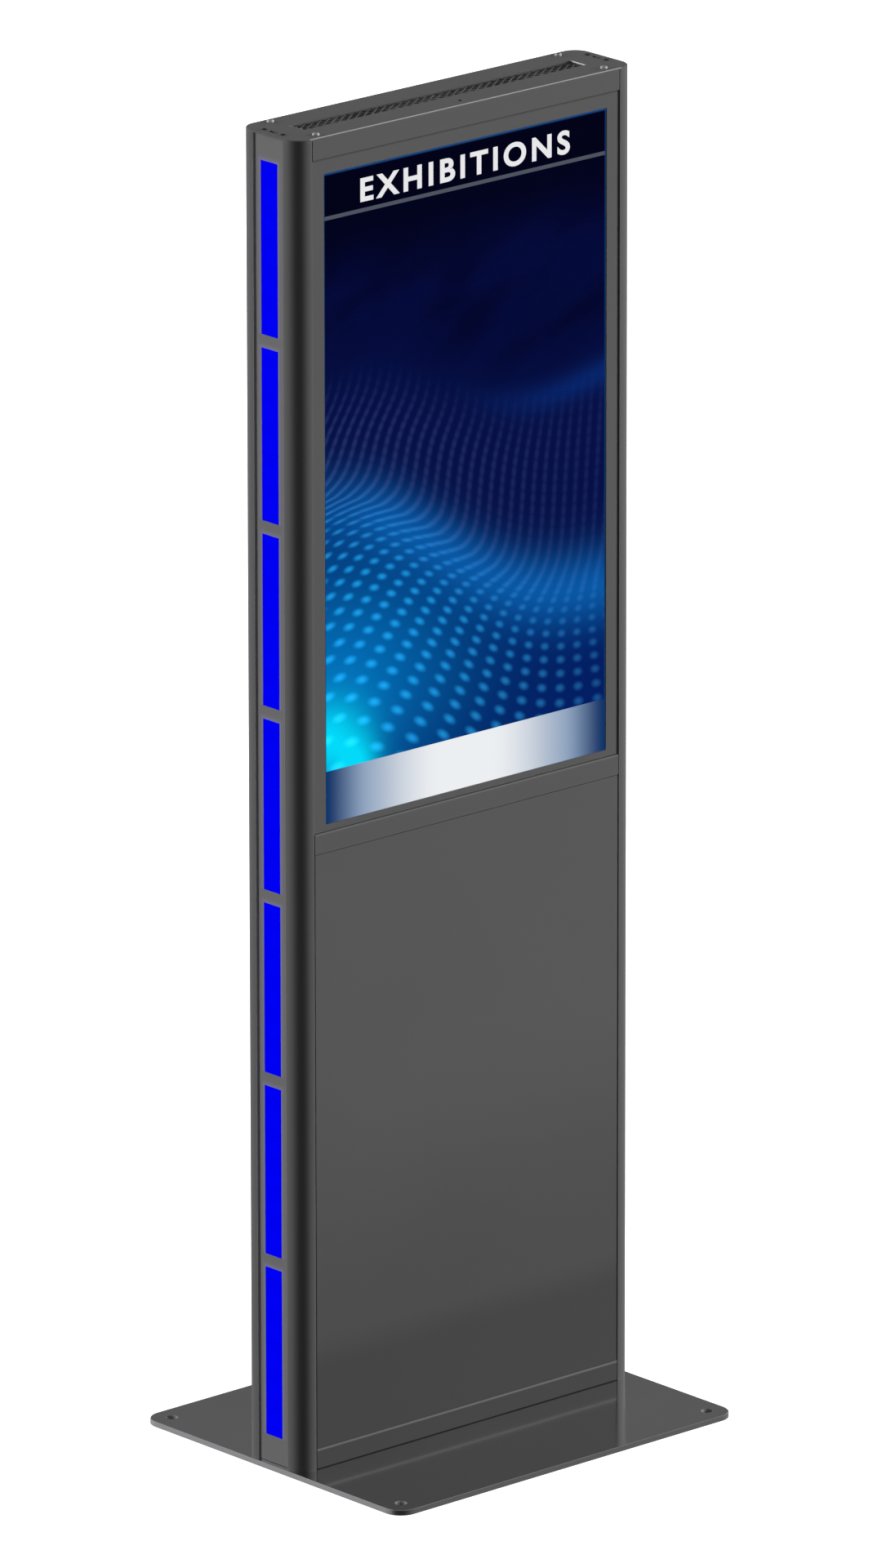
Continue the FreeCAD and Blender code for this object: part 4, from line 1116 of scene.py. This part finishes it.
# %% [markdown]
# ## Louvres on the rear doors
# A press slits the door skin and pushes the metal above each slit outwards, so air gets out but
# rain and dust do not fall in.  The hood is an arc in section, carried along the slit and
# flattened towards both ends.

# %% Louvre hoods
DOOR_FACE = 0.0605
LOUVRE_HALF = 0.034
LOUVRE_X = (-0.160, -0.080, 0.0, 0.080, 0.160)
LOUVRE_FIRST = {"upper": 1.7688, "lower": 0.0897}
LOUVRE_PITCH = 0.010
LOUVRE_ROWS = 10


def louvre_hoods(first):
    """Out = bulge(v) * (1 - u^6)^(1/2) over five columns of ten slits."""
    along = np.linspace(-1, 1, 11)
    v = np.linspace(0, np.pi / 2, 6)
    outer = np.stack([0.0078 * np.sin(v) - 0.0010, 0.0026 * np.cos(v)], axis=1)
    inner = np.stack([0.0066 * np.sin(v) - 0.0010, 0.0016 * np.cos(v)], axis=1)[::-1]
    section = np.concatenate([outer, inner])
    swell = np.sqrt(np.clip(1 - np.abs(along) ** 6, 0, 1))
    slits = first + LOUVRE_PITCH * np.arange(LOUVRE_ROWS)
    columns, rows = np.meshgrid(LOUVRE_X, slits, indexing="ij")
    columns, rows = columns.ravel(), rows.ravel()
    shape = (len(columns), len(along), len(section))
    x = np.broadcast_to(columns[:, None, None] + LOUVRE_HALF * along[None, :, None], shape)
    y = DOOR_FACE - 0.0002 + section[None, None, :, 1] * swell[None, :, None]
    y = np.broadcast_to(y, shape)
    z = np.broadcast_to(rows[:, None, None] + section[None, None, :, 0], shape)
    per = len(along) * len(section)
    faces = [grid_quads(len(along), len(section), wrap_columns=True, start=k * per)
             for k in range(len(columns))]
    return np.stack([x, y, z], axis=-1), np.concatenate(faces)


for level, first in LOUVRE_FIRST.items():
    points, faces = louvre_hoods(first)
    coat = nodes["rear_door_" + level].data.materials[0]
    hoods = add_piece("louvres_" + level, points, faces, coat, level + "_door")
    sharpen(hoods, 50.0)


# %% [markdown]
# ## Painted contact shade
# A thin black bead lies outside the front and rear bottom rails, where they meet the floor plate:
# painted shade for the dark contact line there.  Its section is a quarter circle, drawn out from
# post to post.

# %% Contact shade beads
def contact_shade_bead(side, half_length=0.2865, size=0.0012, rows=25):
    """Quarter circle in front of a rail (side -1 front, +1 rear), drawn out along x."""
    turn = np.linspace(0, np.pi / 2, 5)
    out = np.concatenate([[0.0], size * np.cos(turn)])
    rise = np.concatenate([[0.0], size * np.sin(turn)])
    x = np.linspace(-half_length, half_length, rows)[:, None]
    y = side * (BODY_HALF_Y + out)[None, :]
    z = (PLATE_TOP + rise)[None, :]
    return np.stack(np.broadcast_arrays(x, y, z), axis=2), bar_faces(rows, len(out))


# Black beads that stand as painted shade along the foot of the rails.
for title, side in (("contact_shade_front", -1), ("contact_shade_rear", 1)):
    points, faces = contact_shade_bead(side)
    sharpen(add_piece(title, points, faces, FINISHES["seal"], "stele"))


# %% [markdown]
# ## Foam strips
# The lower front panel hangs between the posts with a narrow gap at each side.  A black foam
# strip, glued to the post a little behind the face, closes the gap against light and dust.  Its
# section is a small box with a bulging front, drawn upwards along the whole panel.

# %% Foam strips beside the panel
POST_INNER_X = 0.2880
STRIP_SETBACK = 0.0045          # behind the panel's face
STRIP_PLAY = 0.00005            # so that the strip only just does not touch


def foam_strip(side, bulge=0.0010, depth=0.0060, rows=45):
    """Section across the gap: y = front - bulge cos(pi s / 2), s from -1 to 1; drawn along z."""
    low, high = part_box("front_panel")
    half = (POST_INNER_X - high.x) / 2 - STRIP_PLAY
    across = np.linspace(-1.0, 1.0, 7)
    front = low.y + STRIP_SETBACK - bulge * np.cos(across * np.pi / 2)
    section_x = np.concatenate([across * half, [half, -half]]) + side * (POST_INNER_X + high.x) / 2
    section_y = np.concatenate([front, [low.y + STRIP_SETBACK + depth] * 2])
    z = np.linspace(low.z + 0.001, high.z - 0.001, rows)[:, None]
    strip = np.stack(np.broadcast_arrays(section_x[None, :], section_y[None, :], z), axis=2)
    return strip, bar_faces(rows, len(section_x))


for title, side in (("foam_strip_left", -1), ("foam_strip_right", 1)):
    points, faces = foam_strip(side)
    sharpen(add_piece(title, points, faces, FINISHES["seal"], "stele"))


# %% [markdown]
# ## Stage
# The kiosk stands on a plain pale floor in front of a white backdrop.  The floor shows white to
# the camera and takes only a light shadow, but stays dark for reflections, as in a studio where
# black cloth lies round the object.

# %% Floor and backdrop
def floor_material(seen=0.5, lift_strength=0.96, mirrored=0.05):
    """Pale and lifted by its own light where the camera sees it; dark for everything else."""
    material = bpy.data.materials.new("studio_floor")
    material.use_nodes = True
    tree = material.node_tree
    tree.nodes.clear()
    path = tree.nodes.new("ShaderNodeLightPath")
    white = tree.nodes.new("ShaderNodeBsdfDiffuse")
    white.inputs["Color"].default_value = (seen, seen, seen, 1.0)
    lift = tree.nodes.new("ShaderNodeEmission")
    lift.inputs["Strength"].default_value = lift_strength
    both = tree.nodes.new("ShaderNodeAddShader")
    dark = tree.nodes.new("ShaderNodeBsdfDiffuse")
    dark.inputs["Color"].default_value = (mirrored, mirrored, mirrored, 1.0)
    pick = tree.nodes.new("ShaderNodeMixShader")
    out = tree.nodes.new("ShaderNodeOutputMaterial")
    tree.links.new(white.outputs[0], both.inputs[0])
    tree.links.new(lift.outputs[0], both.inputs[1])
    tree.links.new(path.outputs["Is Camera Ray"], pick.inputs[0])
    tree.links.new(dark.outputs[0], pick.inputs[1])
    tree.links.new(both.outputs[0], pick.inputs[2])
    tree.links.new(pick.outputs[0], out.inputs["Surface"])
    return material


def make_floor(size=60.0):
    """One square under the kiosk."""
    mesh = bpy.data.meshes.new("studio_floor")
    corner = np.array([(-1, -1, 0), (1, -1, 0), (1, 1, 0), (-1, 1, 0)]) * (size / 2)
    mesh.from_pydata(corner.tolist(), [], [(0, 1, 2, 3)])
    mesh.materials.append(floor_material())
    floor = bpy.data.objects.new("studio_floor", mesh)
    bpy.context.scene.collection.objects.link(floor)


def make_world(dark=0.03, bright=0.107):
    """Dim all round and darkest in front; white where it is seen directly."""
    world = bpy.data.worlds.new("studio")
    bpy.context.scene.world = world
    world.use_nodes = True
    tree = world.node_tree
    tree.nodes.clear()
    place = tree.nodes.new("ShaderNodeTexCoord")
    split = tree.nodes.new("ShaderNodeSeparateXYZ")
    tree.links.new(place.outputs["Generated"], split.inputs[0])
    dx, dy = (Term(tree, split.outputs[k]) for k in range(2))
    level = math.hypot(toward_camera.x, toward_camera.y)
    facing = dx * (toward_camera.x / level) + dy * (toward_camera.y / level)
    colour = mix_colour(tree, (dark,) * 3, (bright,) * 3, facing.step(0.85, 0.1))
    path = tree.nodes.new("ShaderNodeLightPath")
    colour = mix_colour(tree, colour, (1.0, 1.0, 1.0), path.outputs["Is Camera Ray"])
    shade = tree.nodes.new("ShaderNodeBackground")
    out = tree.nodes.new("ShaderNodeOutputWorld")
    tree.links.new(colour, shade.inputs["Color"])
    tree.links.new(shade.outputs[0], out.inputs["Surface"])


make_floor()
make_world()
print("stage: floor and world")


# %% [markdown]
# ## Light
# Two large soft boxes stand left and right of the line of sight, a little behind the kiosk.
# Faces that look past the camera catch them; the rounded corner that points at the camera does
# not, which gives the slab its dark leading edge.  A weak box fills the front, two light the
# back, and one overhead lights the top.  Only the top box may show in polished surfaces.

# %% Soft boxes
KIOSK_MIDDLE = Vector((0.0, 0.0, 1.0))
# Degrees from the camera's direction, seen from above, and power in watts.
BOXES_AROUND = {"right": (100.0, 3800.0), "left": (-100.0, 3300.0), "front": (0.0, 230.0),
                "rear_right": (150.0, 1300.0), "rear_left": (-150.0, 1300.0)}


def soft_box(name, place, power, width, height, mirrored=False):
    """Area light aimed at the middle of the kiosk; polished metal shows it only if asked."""
    data = bpy.data.lights.new(name, "AREA")
    data.shape = "RECTANGLE"
    data.size = width
    data.size_y = height
    data.energy = power
    lamp = bpy.data.objects.new(name, data)
    turned = (KIOSK_MIDDLE - place).to_track_quat("-Z", "Y").to_matrix().to_4x4()
    lamp.matrix_world = Matrix.Translation(place) @ turned
    bpy.context.scene.collection.objects.link(lamp)
    lamp.visible_glossy = mirrored


def beside_camera(degrees, distance=15.0, height=4.5):
    """Place at an angle from the camera's direction, seen from above."""
    turn = math.radians(VIEW_AZIMUTH + degrees)
    return Vector((math.sin(turn) * distance, -math.cos(turn) * distance, height))


for side, (degrees, power) in BOXES_AROUND.items():
    soft_box("soft_box_" + side, beside_camera(degrees), power, 5.0, 6.0)
soft_box("soft_box_top", Vector((0.5, 0.5, 14.0)), 150.0, 4.0, 4.0, mirrored=True)
bpy.context.scene.view_settings.view_transform = "Standard"
print("lights:", len(BOXES_AROUND) + 1)
